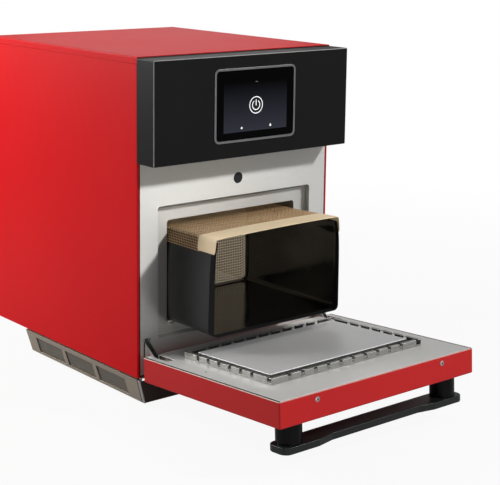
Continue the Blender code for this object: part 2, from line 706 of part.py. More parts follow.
def add_front_frame(cabinet):
    """One stainless pressing with its edges folded back, a sunk opening with a lip, and two hinge slots."""
    y = (0.0, FRAME_RETURN)
    z = (up(FRAME_RISE), CASE_TOP - BODY_SHEET - FIT_GAP)
    frame = pan("front_frame", wide(FRAME_WIDTH), y, z, ("+Y",), BODY_SHEET, cabinet, STEEL)
    slots = [((side * HINGE_X - SLOT_WIDTH / 2, side * HINGE_X + SLOT_WIDTH / 2),
              grown((0.0, BODY_SHEET), OVERRUN),
              (up(BRACKET_LOW - FRAME_SLOT_LOW_EASE),
               up(BRACKET_NECK_HIGH + FRAME_SLOT_HIGH_EASE))) for side in (-1, 1)]
    wires = ((-DISPLAY_WIDTH / 4, DISPLAY_WIDTH / 4), grown((0.0, BODY_SHEET), OVERRUN),
             (up(DISPLAY_LOW), up(SCREEN_MIDDLE)))
    cut(frame, group("frame_slots_cutter", cabinet, boxes=[*slots, wires]))
    cut(frame, rod("plug_hole_cutter", (PLUG_X, BODY_SHEET / 2, up(PLUG_HEIGHT)), PLUG_STEM_RADIUS + FIT_GAP,
                   BODY_SHEET + 2 * OVERRUN, "Y", cabinet))
    opening = rounded(wide(RECESS_WIDTH), (up(RECESS_LOW), up(RECESS_HIGH)), RECESS_ROUND)
    around = rounded(grown(wide(RECESS_WIDTH), BODY_SHEET),
                     grown((up(RECESS_LOW), up(RECESS_HIGH)), BODY_SHEET),
                     RECESS_ROUND + BODY_SHEET)
    join(frame, outline_solid("recess_lip_tool", around, (BODY_SHEET / 2, RECESS_LIP), "Y", cabinet))
    cut(frame, outline_solid("recess_cutter", opening, grown((0.0, RECESS_LIP), OVERRUN), "Y", cabinet))


def add_frame_plug(cabinet):
    """A round black plug with a low crown is snapped into a hole above the opening."""
    radius = PLUG_RADIUS
    face = FIT_GAP
    profile = [(0.0, face + PLUG_CROWN), (radius / 2, face + PLUG_CROWN),
               (radius - PLUG_CROWN, face + PLUG_CROWN / 2),
               (radius, face), (PLUG_STEM_RADIUS, face), (PLUG_STEM_RADIUS, face - PLUG_STEM_LENGTH),
               (0.0, face - PLUG_STEM_LENGTH)]
    plug = turned("frame_plug", profile, (PLUG_X, 0.0, up(PLUG_HEIGHT)), cabinet, BLACK_PLASTIC, 24)
    plug.rotation_euler = (math.pi / 2, 0.0, 0.0)


def add_recess_channel(cabinet):
    """A stainless ring behind the frame's lip carries the cavity flange and leaves a groove round it."""
    start = RECESS_LIP + FIT_GAP
    z = (up(RECESS_LOW), up(RECESS_HIGH))
    around = rounded(grown(wide(RECESS_WIDTH), BODY_SHEET), grown(z, BODY_SHEET), RECESS_ROUND + BODY_SHEET)
    opening = rounded(wide(RECESS_WIDTH), z, RECESS_ROUND)
    foot = rounded(grown(wide(RECESS_WIDTH), -CHANNEL_FOOT), grown(z, -CHANNEL_FOOT), RECESS_ROUND)
    channel = outline_solid("recess_channel", around, (start, CHANNEL_DEPTH), "Y", cabinet, STEEL)
    cut(channel, outline_solid("channel_cutter", opening, (start - OVERRUN, CHANNEL_DEPTH - BODY_SHEET), "Y",
                               cabinet))
    cut(channel, outline_solid("channel_foot_cutter", foot,
                               grown((CHANNEL_DEPTH - BODY_SHEET, CHANNEL_DEPTH), OVERRUN),
                               "Y", cabinet), "MANIFOLD")


def jet_places():
    columns = [(i - (JET_COLUMNS - 1) / 2) * JET_PITCH for i in range(JET_COLUMNS)]
    rows = [CAVITY_MIDDLE_Y + (i - (JET_ROWS - 1) / 2) * JET_PITCH for i in range(JET_ROWS)]
    return [(x, y) for x in columns for y in rows]


def add_cavity(cabinet):
    """A stainless tub with a folded flange round its mouth, jet holes above and return slots behind."""
    z = (up(CAVITY_LOW), up(CAVITY_HIGH))
    shell = rounded(grown(wide(CAVITY_WIDTH), THIN_SHEET), grown(z, THIN_SHEET), CAVITY_ROUND + THIN_SHEET)
    cavity = outline_solid("cavity", shell, (CAVITY_FRONT, CAVITY_SHELL_BACK), "Y", cabinet, STEEL)
    flange_x = grown(wide(RECESS_WIDTH), -FLANGE_GROOVE)
    flange_z = grown((up(RECESS_LOW), up(RECESS_HIGH)), -FLANGE_GROOVE)
    flange = pan("cavity_flange_tool", flange_x, (CAVITY_FRONT, CAVITY_FRONT + FLANGE_RETURN), flange_z,
                 ("+Y",),
                 BODY_SHEET, cabinet)
    join(cavity, flange)
    inside = rounded(wide(CAVITY_WIDTH), z, CAVITY_ROUND)
    cut(cavity, outline_solid("cavity_cutter", inside, (CAVITY_FRONT - OVERRUN, CAVITY_BACK), "Y", cabinet))
    first = BLOWER_HEIGHT - (RETURN_SLOT_COUNT - 1) / 2 * RETURN_SLOT_PITCH
    slots = []
    for i in range(RETURN_SLOT_COUNT):
        height = up(first + i * RETURN_SLOT_PITCH)
        slots.append((wide(RETURN_SLOT_WIDTH), grown((CAVITY_BACK, CAVITY_SHELL_BACK), OVERRUN),
                      (height - RETURN_SLOT_HEIGHT / 2, height + RETURN_SLOT_HEIGHT / 2)))
    jets = [((x, y, z[1]), JET_RADIUS, 2 * OVERRUN + 2 * THIN_SHEET, "Z") for x, y in jet_places()]
    cut(cavity, group("cavity_holes_cutter", cabinet, boxes=slots, rods=jets, sides=12))
    cut(cavity, rod("well_mouth_cutter", (0.0, CAVITY_MIDDLE_Y, z[0]), WELL_RADIUS,
                    2 * OVERRUN + 2 * THIN_SHEET, "Z",
                    cabinet, sides=40))


def add_ceramic_floor(cabinet):
    """A ceramic plate lies on the cavity floor and covers the antenna well."""
    low = up(CAVITY_LOW) + FIT_GAP
    x = grown(wide(CAVITY_WIDTH), -FIT_GAP - CAVITY_ROUND / 2)
    y = (CAVITY_FRONT + BODY_SHEET, CAVITY_BACK - THIN_SHEET)
    plate = box("ceramic_floor", x, y, (low + CAVITY_ROUND / 5, low + CERAMIC_THICKNESS), cabinet, CERAMIC)
    pad = box("ceramic_pad_tool", grown(x, -CAVITY_ROUND), grown(y, -CAVITY_ROUND),
              (low, low + CAVITY_ROUND / 2),
              cabinet)
    join(plate, pad)


def add_insulation(cabinet):
    """Mineral wool lies over the top and down both sides of the cavity, behind the recess."""
    y = (CHANNEL_DEPTH + FIT_GAP, CAVITY_SHELL_BACK - FIT_GAP)
    inside = CAVITY_SHELL_SIDE + FIT_GAP
    outside = inside + INSULATION_THICKNESS
    low = up(CAVITY_LOW)
    ceiling = up(DUCT_HIGH) + FIT_GAP
    path = [(-inside, low), (-inside, ceiling), (inside, ceiling), (inside, low)]
    wool = outline_solid("insulation", ribbon(path, outside - inside), y, "Y", cabinet, WOOL)
    soften(wool, EDGE_ROUND, 1)


def add_jet_duct(cabinet):
    """A sheet duct over the cavity takes hot air from the fan chamber to the jet holes."""
    pan("jet_duct", wide(DUCT_WIDTH), (DUCT_FRONT, CAVITY_SHELL_BACK), (up(DUCT_LOW), up(DUCT_HIGH)),
        ("-Z", "+Y"),
        THIN_SHEET, cabinet, ZINC)


def heater_path():
    """The heater's centre line: in through the chamber's back, once round the blower and out again."""
    plane = CHAMBER_FRONT + HEATER_SET_BACK
    tail = CHAMBER_BACK + HEATER_TAIL
    half_gap = 360 * HEATER_LEG_SHARE / 4
    ring = arc(0.0, up(BLOWER_HEIGHT), HEATER_RADIUS, 270 + half_gap, 630 - half_gap, 40)
    bend = HEATER_TUBE_RADIUS * 3
    points = [(ring[0][0], tail, ring[0][1]), (ring[0][0], plane + bend, ring[0][1])]
    points += [(x, plane, z) for x, z in ring[1:-1]]
    points += [(ring[-1][0], plane + bend, ring[-1][1]), (ring[-1][0], tail, ring[-1][1])]
    return points


def add_fan_chamber(cabinet):
    """A sheet box behind the cavity, open to the front, with holes for the blower shaft and heater."""
    y = (CHAMBER_FRONT, CHAMBER_BACK)
    chamber = pan("fan_chamber", wide(CHAMBER_WIDTH), y, (up(CHAMBER_LOW), up(DUCT_HIGH)), ("-Y",),
                  BODY_SHEET,
                  cabinet, ZINC)
    length = BODY_SHEET + 2 * OVERRUN
    back = CHAMBER_BACK - BODY_SHEET / 2
    ends = heater_path()
    holes = [((0.0, back, up(BLOWER_HEIGHT)), BLOWER_SHAFT_RADIUS + SHAFT_HOLE_EASE, length, "Y"),
             ((ends[0][0], back, ends[0][2]), HEATER_TUBE_RADIUS + FIT_GAP, length, "Y"),
             ((ends[-1][0], back, ends[-1][2]), HEATER_TUBE_RADIUS + FIT_GAP, length, "Y")]
    cut(chamber, group("chamber_holes_cutter", cabinet, rods=holes, sides=24))


def add_heater(cabinet):
    """The heater is one bent tube round the blower wheel, held where both ends pass the chamber's back."""
    curve = bpy.data.curves.new("heater", "CURVE")
    curve.dimensions = "3D"
    curve.bevel_depth = HEATER_TUBE_RADIUS
    curve.bevel_resolution = 2
    curve.use_fill_caps = True
    spline = curve.splines.new("POLY")
    path = heater_path()
    spline.points.add(len(path) - 1)
    for point, place in zip(spline.points, path):
        point.co = (*place, 1.0)
    drawn = bpy.data.objects.new("heater", curve)
    parts.objects.link(drawn)
    settle("heater", mesh_of(drawn), cabinet.pivot, cabinet, ZINC)


def add_blower(cabinet, blower):
    """The hot-air wheel: a back disc with straight vanes, a hub, and a shaft that runs in the motor."""
    height = up(BLOWER_HEIGHT)
    disc_middle = BLOWER_DISC_BACK - BLOWER_DISC / 2
    wheel = rod("blower_wheel", (0.0, disc_middle, height), BLOWER_RADIUS, BLOWER_DISC, "Y", blower, ZINC,
                36)
    vanes = bmesh.new()
    front = BLOWER_DISC_BACK - BLOWER_DISC / 2 - BLOWER_VANE_DEPTH
    for i in range(BLOWER_VANES):
        added = add_box(vanes, wide(BLOWER_VANE_THICKNESS), (front, disc_middle),
                        (height + BLOWER_EYE_RADIUS, height + BLOWER_RADIUS - THIN_SHEET), blower.pivot)
        turn = Matrix.Rotation(2 * math.pi * i / BLOWER_VANES, 3, "Y")
        bmesh.ops.rotate(vanes, verts=added, cent=(0.0, 0.0, 0.0), matrix=turn)
    join(wheel, settle("blower_vanes_tool", finish_mesh("blower_vanes_tool", vanes), blower.pivot, blower,
                       None))
    hub = (BLOWER_VANE_DEPTH + BLOWER_DISC) / 2
    join(wheel, rod("blower_hub_tool", (0.0, BLOWER_DISC_BACK - hub / 2 - BLOWER_DISC / 4, height),
                    BLOWER_HUB_RADIUS,
                    hub, "Y", blower, sides=20))
    shaft = BLOWER_SHAFT_LENGTH + BLOWER_DISC
    join(wheel, rod("blower_shaft_tool", (0.0, BLOWER_DISC_BACK - BLOWER_DISC / 2 + shaft / 2, height),
                    BLOWER_SHAFT_RADIUS, shaft, "Y", blower, sides=20))
    start = CHAMBER_BACK + FIT_GAP
    motor = rod("blower_motor", (0.0, start + BLOWER_MOTOR_LENGTH / 2, height), BLOWER_MOTOR_RADIUS,
                BLOWER_MOTOR_LENGTH, "Y", cabinet, ZINC, 36)
    cut(motor, rod("motor_bore_cutter", (0.0, start, height), BLOWER_SHAFT_RADIUS + FIT_GAP,
                   2 * MOTOR_BORE_DEPTH, "Y",
                   cabinet, sides=20))
    soften(motor, EDGE_ROUND)


def add_antenna_well(cabinet):
    """A drawn dish under the cavity floor, in which the antenna turns."""
    rim = up(WELL_TOP)
    low = rim - WELL_DEPTH - BODY_SHEET
    outer = WELL_RADIUS + BODY_SHEET
    flange = WELL_RADIUS + WELL_FLANGE
    profile = [(WELL_RADIUS, rim), (flange, rim), (flange, rim - BODY_SHEET), (outer, rim - BODY_SHEET),
               (outer, low),
               (WELL_DRAIN_RADIUS, low), (WELL_DRAIN_RADIUS, low + BODY_SHEET),
               (WELL_RADIUS, low + BODY_SHEET)]
    turned("antenna_well", profile, (0.0, CAVITY_MIDDLE_Y, 0.0), cabinet, STEEL, 40, closed=True)


def add_antenna(cabinet, antenna):
    """A slotted plate on a shaft spreads the microwaves; its motor sits under the waveguide."""
    plate_low = up(WELL_LOW) + BODY_SHEET + ANTENNA_LIFT
    bore = up(GUIDE_LOW) - FIT_GAP - ANTENNA_BORE_DEPTH
    plate = rod("antenna", (0.0, CAVITY_MIDDLE_Y, plate_low + ANTENNA_THICKNESS / 2), ANTENNA_RADIUS,
                ANTENNA_THICKNESS, "Z", antenna, STEEL, 36)
    bottom = bore + FIT_GAP
    top = plate_low + ANTENNA_THICKNESS / 2
    join(plate, rod("antenna_shaft_tool", (0.0, CAVITY_MIDDLE_Y, (bottom + top) / 2), ANTENNA_SHAFT_RADIUS,
                    top - bottom, "Z", antenna, sides=16))
    first = ANTENNA_RADIUS / 3
    slots = []
    for side in (-1, 1):
        x = sorted((side * first, side * (first + ANTENNA_SLOT_WIDTH)))
        slots.append((x, (CAVITY_MIDDLE_Y - first, CAVITY_MIDDLE_Y + first),
                      (plate_low - OVERRUN, plate_low + ANTENNA_THICKNESS + OVERRUN)))
    cut(plate, group("antenna_slots_cutter", antenna, boxes=slots))
    half = ANTENNA_MOTOR_SIZE / 2
    motor = box("antenna_motor", wide(ANTENNA_MOTOR_SIZE), (CAVITY_MIDDLE_Y - half, CAVITY_MIDDLE_Y + half),
                (CASE_BASE + BODY_SHEET + ANTENNA_MOTOR_FLOOR_GAP, up(GUIDE_LOW) - FIT_GAP), cabinet, ZINC)
    soften(motor, EDGE_ROUND)
    cut(motor, rod("antenna_bore_cutter", (0.0, CAVITY_MIDDLE_Y, up(GUIDE_LOW)),
                   ANTENNA_SHAFT_RADIUS + FIT_GAP,
                   2 * (ANTENNA_BORE_DEPTH + FIT_GAP), "Z", cabinet, sides=16))


def magnetron_y():
    return WAVEGUIDE_REAR - MAGNETRON_DEPTH / 2 - OVERRUN


def add_waveguide(cabinet):
    """A flat sheet tube leads the microwaves from the magnetron to the antenna."""
    x = wide(WAVEGUIDE_WIDTH)
    y = (CAVITY_MIDDLE_Y - WAVEGUIDE_LEAD, WAVEGUIDE_REAR)
    z = (up(GUIDE_LOW), up(GUIDE_HIGH))
    guide = box("waveguide", x, y, z, cabinet, ZINC)
    cut(guide, box("waveguide_cutter", grown(x, -THIN_SHEET), grown(y, -THIN_SHEET), grown(z, -THIN_SHEET),
                   cabinet))
    reach = 2 * OVERRUN + 2 * THIN_SHEET
    holes = [((0.0, CAVITY_MIDDLE_Y, z[1]), COUPLING_RADIUS, reach, "Z"),
             ((0.0, CAVITY_MIDDLE_Y, z[0]), ANTENNA_SHAFT_RADIUS + FIT_GAP, reach, "Z"),
             ((0.0, magnetron_y(), z[1]), MAGNETRON_DOME_RADIUS + OVERRUN, reach, "Z")]
    cut(guide, group("waveguide_holes_cutter", cabinet, rods=holes, sides=20))


def add_magnetron(cabinet):
    """The magnetron stands on the waveguide's rear end, with cooling fins and its dome in the guide."""
    low = up(GUIDE_HIGH) + FIT_GAP
    y = (magnetron_y() - MAGNETRON_DEPTH / 2, magnetron_y() + MAGNETRON_DEPTH / 2)
    body = box("magnetron", wide(MAGNETRON_WIDTH), y, (low, low + MAGNETRON_HEIGHT), cabinet, ZINC)
    grooves = []
    for i in range(MAGNETRON_FIN_COUNT):
        z = low + MAGNETRON_FIN_PITCH * (i + 1)
        for side in (-1, 1):
            edge = side * MAGNETRON_WIDTH / 2
            x = sorted((edge - side * MAGNETRON_FIN_DEPTH, edge + side * OVERRUN))
            grooves.append((x, grown(y, OVERRUN), (z, z + MAGNETRON_FIN_GROOVE)))
    cut(body, group("magnetron_fins_cutter", cabinet, boxes=grooves))
    length = MAGNETRON_DOME_LENGTH + OVERRUN
    join(body, rod("magnetron_dome_tool", (0.0, magnetron_y(), low - MAGNETRON_DOME_LENGTH + length / 2),
                   MAGNETRON_DOME_RADIUS, length, "Z", cabinet, sides=16))


def add_shelf(cabinet):
    """A shelf with folded edges parts the electronics from the hot parts below."""
    z = (up(SHELF_TOP) - SHELF_EDGE, up(SHELF_TOP))
    pan("electronics_shelf", wide(2 * CASE_INSIDE), (SHELF_FRONT, REAR_FACE - BODY_SHEET - FIT_GAP), z,
        ("-Z",),
        BODY_SHEET, cabinet, ZINC)


def add_inverter(cabinet):
    """The magnetron's power supply, under a finned heat sink."""
    low = up(SHELF_TOP) + FIT_GAP
    x = (INVERTER_X - INVERTER_WIDTH / 2, INVERTER_X + INVERTER_WIDTH / 2)
    y = (INVERTER_Y - INVERTER_DEPTH / 2, INVERTER_Y + INVERTER_DEPTH / 2)
    top = low + INVERTER_HEIGHT
    body = box("inverter", x, y, (low, top), cabinet, ZINC)
    grooves = []
    first = INVERTER_X - (INVERTER_GROOVE_COUNT - 1) / 2 * INVERTER_GROOVE_PITCH
    for i in range(INVERTER_GROOVE_COUNT):
        middle = first + i * INVERTER_GROOVE_PITCH
        grooves.append(((middle - INVERTER_GROOVE / 2, middle + INVERTER_GROOVE / 2), grown(y, OVERRUN),
                        (top - INVERTER_HEIGHT / 3, top + OVERRUN)))
    cut(body, group("inverter_fins_cutter", cabinet, boxes=grooves))


def add_control_board(cabinet):
    """A circuit board on four standoffs, with its larger components."""
    low = up(SHELF_TOP) + FIT_GAP
    board_low = low + BOARD_STANDOFF
    x = (BOARD_X - BOARD_WIDTH / 2, BOARD_X + BOARD_WIDTH / 2)
    y = (BOARD_Y - BOARD_DEPTH / 2, BOARD_Y + BOARD_DEPTH / 2)
    board = box("control_board", x, y, (board_low, board_low + BOARD_THICKNESS), cabinet, BOARD_GREEN)
    length = BOARD_STANDOFF + BOARD_THICKNESS / 2
    legs = [((px, py, low + length / 2), BOARD_STANDOFF_RADIUS, length, "Z")
            for px in grown(x, -BOARD_INSET) for py in grown(y, -BOARD_INSET)]
    join(board, group("board_legs_tool", cabinet, rods=legs, sides=10))
    middle = board_low + BOARD_THICKNESS / 2
    component_shares = ((-0.30, -0.25, 0.20, 0.18, 0.16), (0.05, -0.28, 0.16, 0.22, 0.10),
                        (0.32, -0.10, 0.14, 0.40, 0.12), (-0.22, 0.22, 0.30, 0.20, 0.08))
    chips = []
    for x_share, y_share, width_share, depth_share, height_share in component_shares:
        cx = BOARD_X + x_share * BOARD_WIDTH
        cy = BOARD_Y + y_share * BOARD_DEPTH
        half_x = width_share * BOARD_WIDTH / 2
        half_y = depth_share * BOARD_DEPTH / 2
        chips.append(((cx - half_x, cx + half_x), (cy - half_y, cy + half_y),
                      (middle, middle + height_share * BOARD_WIDTH)))
    join(board, group("board_chips_tool", cabinet, boxes=chips))


def add_cooling_fan(cabinet, fan):
    """An axial fan on the rear panel: a square frame with a motor disc on four struts, and the wheel."""
    height = up(FAN_HEIGHT)
    y = (FAN_FRONT, FAN_FRONT + FAN_DEPTH)
    x = (FAN_X - FAN_SIZE / 2, FAN_X + FAN_SIZE / 2)
    frame = box("cooling_fan_frame", x, y, (height - FAN_SIZE / 2, height + FAN_SIZE / 2), cabinet,
                BLACK_PLASTIC)
    disc = (y[1] - FAN_MOTOR_DISC, y[1])
    cut(frame, rod("fan_duct_cutter", (FAN_X, disc[0] - FAN_DEPTH / 2, height), FAN_DUCT_RADIUS, FAN_DEPTH,
                   "Y",
                   cabinet, sides=36))
    behind = rod("fan_outlet_cutter", (FAN_X, disc[0] + FAN_MOTOR_DISC / 2, height),
                 FAN_DUCT_RADIUS - OVERRUN,
                 FAN_MOTOR_DISC + 2 * OVERRUN, "Y", cabinet, sides=36)
    cut(behind, rod("fan_motor_cutter", (FAN_X, disc[0] + FAN_MOTOR_DISC / 2, height), FAN_HUB_RADIUS,
                    FAN_MOTOR_DISC + 4 * OVERRUN, "Y", cabinet, sides=24))
    reach = FAN_DUCT_RADIUS + OVERRUN
    half = FAN_STRUT_WIDTH / 2
    cut(behind, box("fan_strut_cutter", (FAN_X - reach, FAN_X + reach), grown(disc, 2 * OVERRUN),
                    (height - half, height + half), cabinet))
    cut(behind, box("fan_strut_up_cutter", (FAN_X - half, FAN_X + half), grown(disc, 2 * OVERRUN),
                    (height - reach, height + reach), cabinet))
    cut(frame, behind)
    cut(frame, rod("fan_bore_cutter", (FAN_X, disc[0], height), FAN_SHAFT_RADIUS + FIT_GAP,
                   2 * (FAN_SHAFT_LENGTH + FIT_GAP), "Y", cabinet, sides=12))
    hub_back = disc[0] - FIT_GAP
    hub_middle = hub_back - FAN_HUB_LENGTH / 2
    wheel = rod("cooling_fan_wheel", (FAN_X, hub_middle, height), FAN_HUB_RADIUS, FAN_HUB_LENGTH, "Y", fan,
                BLACK_PLASTIC, 24)
    length = FAN_SHAFT_LENGTH + OVERRUN
    join(wheel, rod("fan_shaft_tool", (FAN_X, hub_back + FAN_SHAFT_LENGTH - length / 2, height),
                    FAN_SHAFT_RADIUS,
                    length, "Y", fan, sides=12))
    blades = bmesh.new()
    for i in range(FAN_BLADES):
        added = add_box(blades, wide(FAN_BLADE_CHORD), wide(FAN_BLADE_THICKNESS), (FAN_HUB_RADIUS - OVERRUN,
                                                                                 FAN_WHEEL_RADIUS))
        bmesh.ops.rotate(blades, verts=added, cent=(0.0, 0.0, 0.0),
                         matrix=Matrix.Rotation(FAN_BLADE_PITCH, 3, "Z"))
        turn = Matrix.Rotation(2 * math.pi * i / FAN_BLADES, 3, "Y")
        bmesh.ops.rotate(blades, verts=added, cent=(0.0, 0.0, 0.0), matrix=turn)
    join(wheel, settle("fan_blades_tool", finish_mesh("fan_blades_tool", blades),
                       (FAN_X, hub_middle, height), fan,
                       None))


def add_mains_gland(cabinet):
    """The inlet for the mains lead, in the rear panel."""
    length = BODY_SHEET + FIT_GAP
    profile = [(GLAND_BORE_RADIUS, GLAND_FLANGE + GLAND_NOSE),
               (GLAND_NOSE_RADIUS, GLAND_FLANGE + GLAND_NOSE),
               (GLAND_NOSE_RADIUS, GLAND_FLANGE), (GLAND_FLANGE_RADIUS, GLAND_FLANGE),
               (GLAND_FLANGE_RADIUS, 0.0),
               (GLAND_STEM_RADIUS, 0.0), (GLAND_STEM_RADIUS, -length - GLAND_INSIDE),
               (GLAND_BORE_RADIUS, -length - GLAND_INSIDE)]
    gland = turned("mains_gland", profile, (GLAND_X, REAR_FACE + FIT_GAP, up(GLAND_HEIGHT)), cabinet,
                   BLACK_PLASTIC, 16,
                   closed=True)
    gland.rotation_euler = (-math.pi / 2, 0.0, 0.0)


def add_door_switch(cabinet):
    """The stack of door switches behind the front frame, above the left hinge bracket."""
    low = up(BRACKET_TAIL_HIGH) + FIT_GAP
    x = (-HINGE_X - SWITCH_WIDTH / 2, -HINGE_X + SWITCH_WIDTH / 2)
    start = BODY_SHEET + FIT_GAP
    switch = box("door_switch", x, (start, start + SWITCH_DEPTH), (low, low + SWITCH_HEIGHT), cabinet,
                 BLACK_PLASTIC)
    soften(switch, EDGE_ROUND, 1)


def skirt_x(z, inset=0.0):
    """Half the plinth's width at a height above the floor, less an inset square to the leaning skirt."""
    low = FOOT_HEIGHT
    high = CASE_BASE - PLINTH_TOP_GAP
    slope = (PLINTH_TOP_WIDTH - PLINTH_BOTTOM_WIDTH) / 2 / (high - low)
    return PLINTH_BOTTOM_WIDTH / 2 + slope * (z - low) - inset * math.sqrt(1 + slope ** 2)


def front_lean(z):
    """How far the plinth's front has leaned back at a height."""
    high = CASE_BASE - PLINTH_TOP_GAP
    return PLINTH_FRONT_LEAN * (high - z) / (high - FOOT_HEIGHT)


def add_plinth_sides(cabinet):
    """Each leaning side skirt has three windows and a ledge that is fixed under the base tray."""
    low = FOOT_HEIGHT
    high = CASE_BASE - PLINTH_TOP_GAP
    top = CASE_BASE - FIT_GAP
    ledge_out = skirt_x(high) - PLINTH_LEDGE_STEP
    ledge_in = ledge_out - PLINTH_LEDGE
    neck = ledge_out - PLINTH_SHEET
    outline = [(skirt_x(low), low), (skirt_x(high), high), (ledge_out, high), (ledge_out, top),
               (ledge_in, top),
               (ledge_in, top - PLINTH_SHEET), (neck, top - PLINTH_SHEET), (neck, high - PLINTH_SHEET),
               (skirt_x(high - PLINTH_SHEET, PLINTH_SHEET), high - PLINTH_SHEET),
               (skirt_x(low, PLINTH_SHEET), low)]
    windows = []
    for i in range(WINDOW_COUNT):
        start = WINDOW_FRONT + i * WINDOW_PITCH
        windows.append((start, start + WINDOW_LENGTH))
    z = (low + WINDOW_LOW, low + WINDOW_LOW + WINDOW_HEIGHT)
    for name, side in (("plinth_side_left", -1), ("plinth_side_right", 1)):
        skirt = outline_solid(name, [(side * x, h) for x, h in outline], (0.0, PLINTH_DEPTH), "Y", cabinet,
                              PLINTH_TAUPE)
        for vertex in skirt.data.vertices:
            if vertex.co.y < 0:
                vertex.co.y += max(front_lean(vertex.co.z), 0.0)
        x = sorted((side * (skirt_x(z[0], PLINTH_SHEET) - OVERRUN), side * (skirt_x(z[1]) + OVERRUN)))
        cut(skirt, group(name + "_cutter", cabinet, boxes=[(x, y, z) for y in windows]))


def add_plinth_filters(cabinet):
    """A fine filter sheet lies behind the windows of each side skirt."""
    low = FOOT_HEIGHT + WINDOW_LOW - FILTER_MARGIN / 2
    high = FOOT_HEIGHT + WINDOW_LOW + WINDOW_HEIGHT + FILTER_MARGIN / 2
    near = PLINTH_SHEET + FIT_GAP
    far = near + FILTER_THICKNESS
    outline = [(skirt_x(low, near), low), (skirt_x(high, near), high), (skirt_x(high, far), high),
               (skirt_x(low, far), low)]
    y = (WINDOW_FRONT - FILTER_MARGIN,
         WINDOW_FRONT + (WINDOW_COUNT - 1) * WINDOW_PITCH + WINDOW_LENGTH + FILTER_MARGIN)
    for name, side in (("plinth_filter_left", -1), ("plinth_filter_right", 1)):
        outline_solid(name, [(side * x, h) for x, h in outline], y, "Y", cabinet, FILTER_GREY)


def add_plinth_ends(cabinet):
    """The glossy front skirt leans with the corners; the rear skirt stands straight."""
    low = FOOT_HEIGHT
    high = CASE_BASE - PLINTH_TOP_GAP - PLINTH_SHEET - FIT_GAP
    inset = PLINTH_SHEET + FIT_GAP
    outline = [(-skirt_x(low, inset), low), (skirt_x(low, inset), low), (skirt_x(high, inset), high),
               (-skirt_x(high, inset), high)]
    front = outline_solid("plinth_front", outline, (PLINTH_FRONT_INSET, PLINTH_FRONT_INSET + PLINTH_SHEET),
                          "Y",
                          cabinet, BLACK_PLASTIC)
    for vertex in front.data.vertices:
        vertex.co.y += front_lean(vertex.co.z)
    back = PLINTH_DEPTH - PLINTH_SHEET
    outline_solid("plinth_rear", outline, (back - PLINTH_SHEET, back), "Y", cabinet, DARK_PAINT)


def add_feet(cabinet):
    """Four levelling feet, screwed up into the base tray through the plinth."""
    top = CASE_BASE - FIT_GAP
    profile = [(0.0, top), (FOOT_STEM_RADIUS, top), (FOOT_STEM_RADIUS, FOOT_PAD),
               (FOOT_RADIUS - FOOT_CHAMFER, FOOT_PAD),
               (FOOT_RADIUS, FOOT_PAD - FOOT_CHAMFER), (FOOT_RADIUS, 0.0), (0.0, 0.0)]
    for end, y in (("front", FOOT_INSET_Y), ("rear", PLINTH_DEPTH - FOOT_INSET_Y)):
        for side, x in (("left", -CASE_SIDE + FOOT_INSET_X), ("right", CASE_SIDE - FOOT_INSET_X)):
            turned("foot_" + end + "_" + side, profile, (x, y, 0.0), cabinet, BLACK_PLASTIC, 20)


def add_fascia(cabinet):
    """The control fascia is a dark folded box on the front frame, with an opening for the screen."""
    z = (up(FASCIA_LOW), up(FASCIA_HIGH))
    fascia = pan("fascia", wide(FASCIA_WIDTH), (-FASCIA_DEPTH, -FIT_GAP), z, ("+Y",), BODY_SHEET, cabinet,
                 DARK_PAINT,
                 EDGE_ROUND)
    inset = BEZEL_FACE - FIT_GAP
    opening = rounded(grown(wide(SCREEN_WIDTH), -inset), grown((up(SCREEN_LOW), up(SCREEN_HIGH)), -inset),
                      SCREEN_ROUND - inset)
    cut(fascia, outline_solid("screen_cutter", opening,
                              grown((-FASCIA_DEPTH, -FASCIA_DEPTH + BODY_SHEET), OVERRUN),
                              "Y", cabinet))


def add_screen(cabinet):
    """A thin silver rim holds the touch glass, with the display module behind it."""
    x = wide(SCREEN_WIDTH)
    z = (up(SCREEN_LOW), up(SCREEN_HIGH))
    back = -FASCIA_DEPTH - FIT_GAP
    front = back - BEZEL_PROUD
    bezel = outline_solid("screen_bezel", rounded(x, z, SCREEN_ROUND), (front, back), "Y", cabinet, STEEL)
    collar = rounded(grown(x, -BEZEL_FACE), grown(z, -BEZEL_FACE), SCREEN_ROUND - BEZEL_FACE)
    join(bezel, outline_solid("bezel_collar_tool", collar,
                              (back - BEZEL_PROUD / 2, back + BEZEL_COLLAR_DEPTH), "Y",
                              cabinet))
    inner = BEZEL_FACE + BEZEL_COLLAR
    clear = rounded(grown(x, -inner), grown(z, -inner), SCREEN_ROUND - inner)
    cut(bezel, outline_solid("bezel_cutter", clear, (front - OVERRUN, back + BEZEL_COLLAR_DEPTH + OVERRUN),
                             "Y",
                             cabinet))
    rim = inner + FIT_GAP
    glass = rounded(grown(x, -rim), grown(z, -rim), SCREEN_ROUND - rim)
    glass_front = front + GLASS_SINK
    outline_solid("touch_glass", glass, (glass_front, glass_front + GLASS_THICKNESS), "Y", cabinet,
                  GLASS_BLACK)
    start = glass_front + GLASS_THICKNESS + FIT_GAP
    module = box("display_module", wide(DISPLAY_WIDTH), (start, start + DISPLAY_DEPTH), (up(DISPLAY_LOW),
                                                                                    up(DISPLAY_HIGH)),
                 cabinet, ZINC)
    soften(module, EDGE_ROUND, 1)


def hinge_slots(y, z):
    return [((side * HINGE_X - SLOT_WIDTH / 2, side * HINGE_X + SLOT_WIDTH / 2), y, z) for side in (-1, 1)]


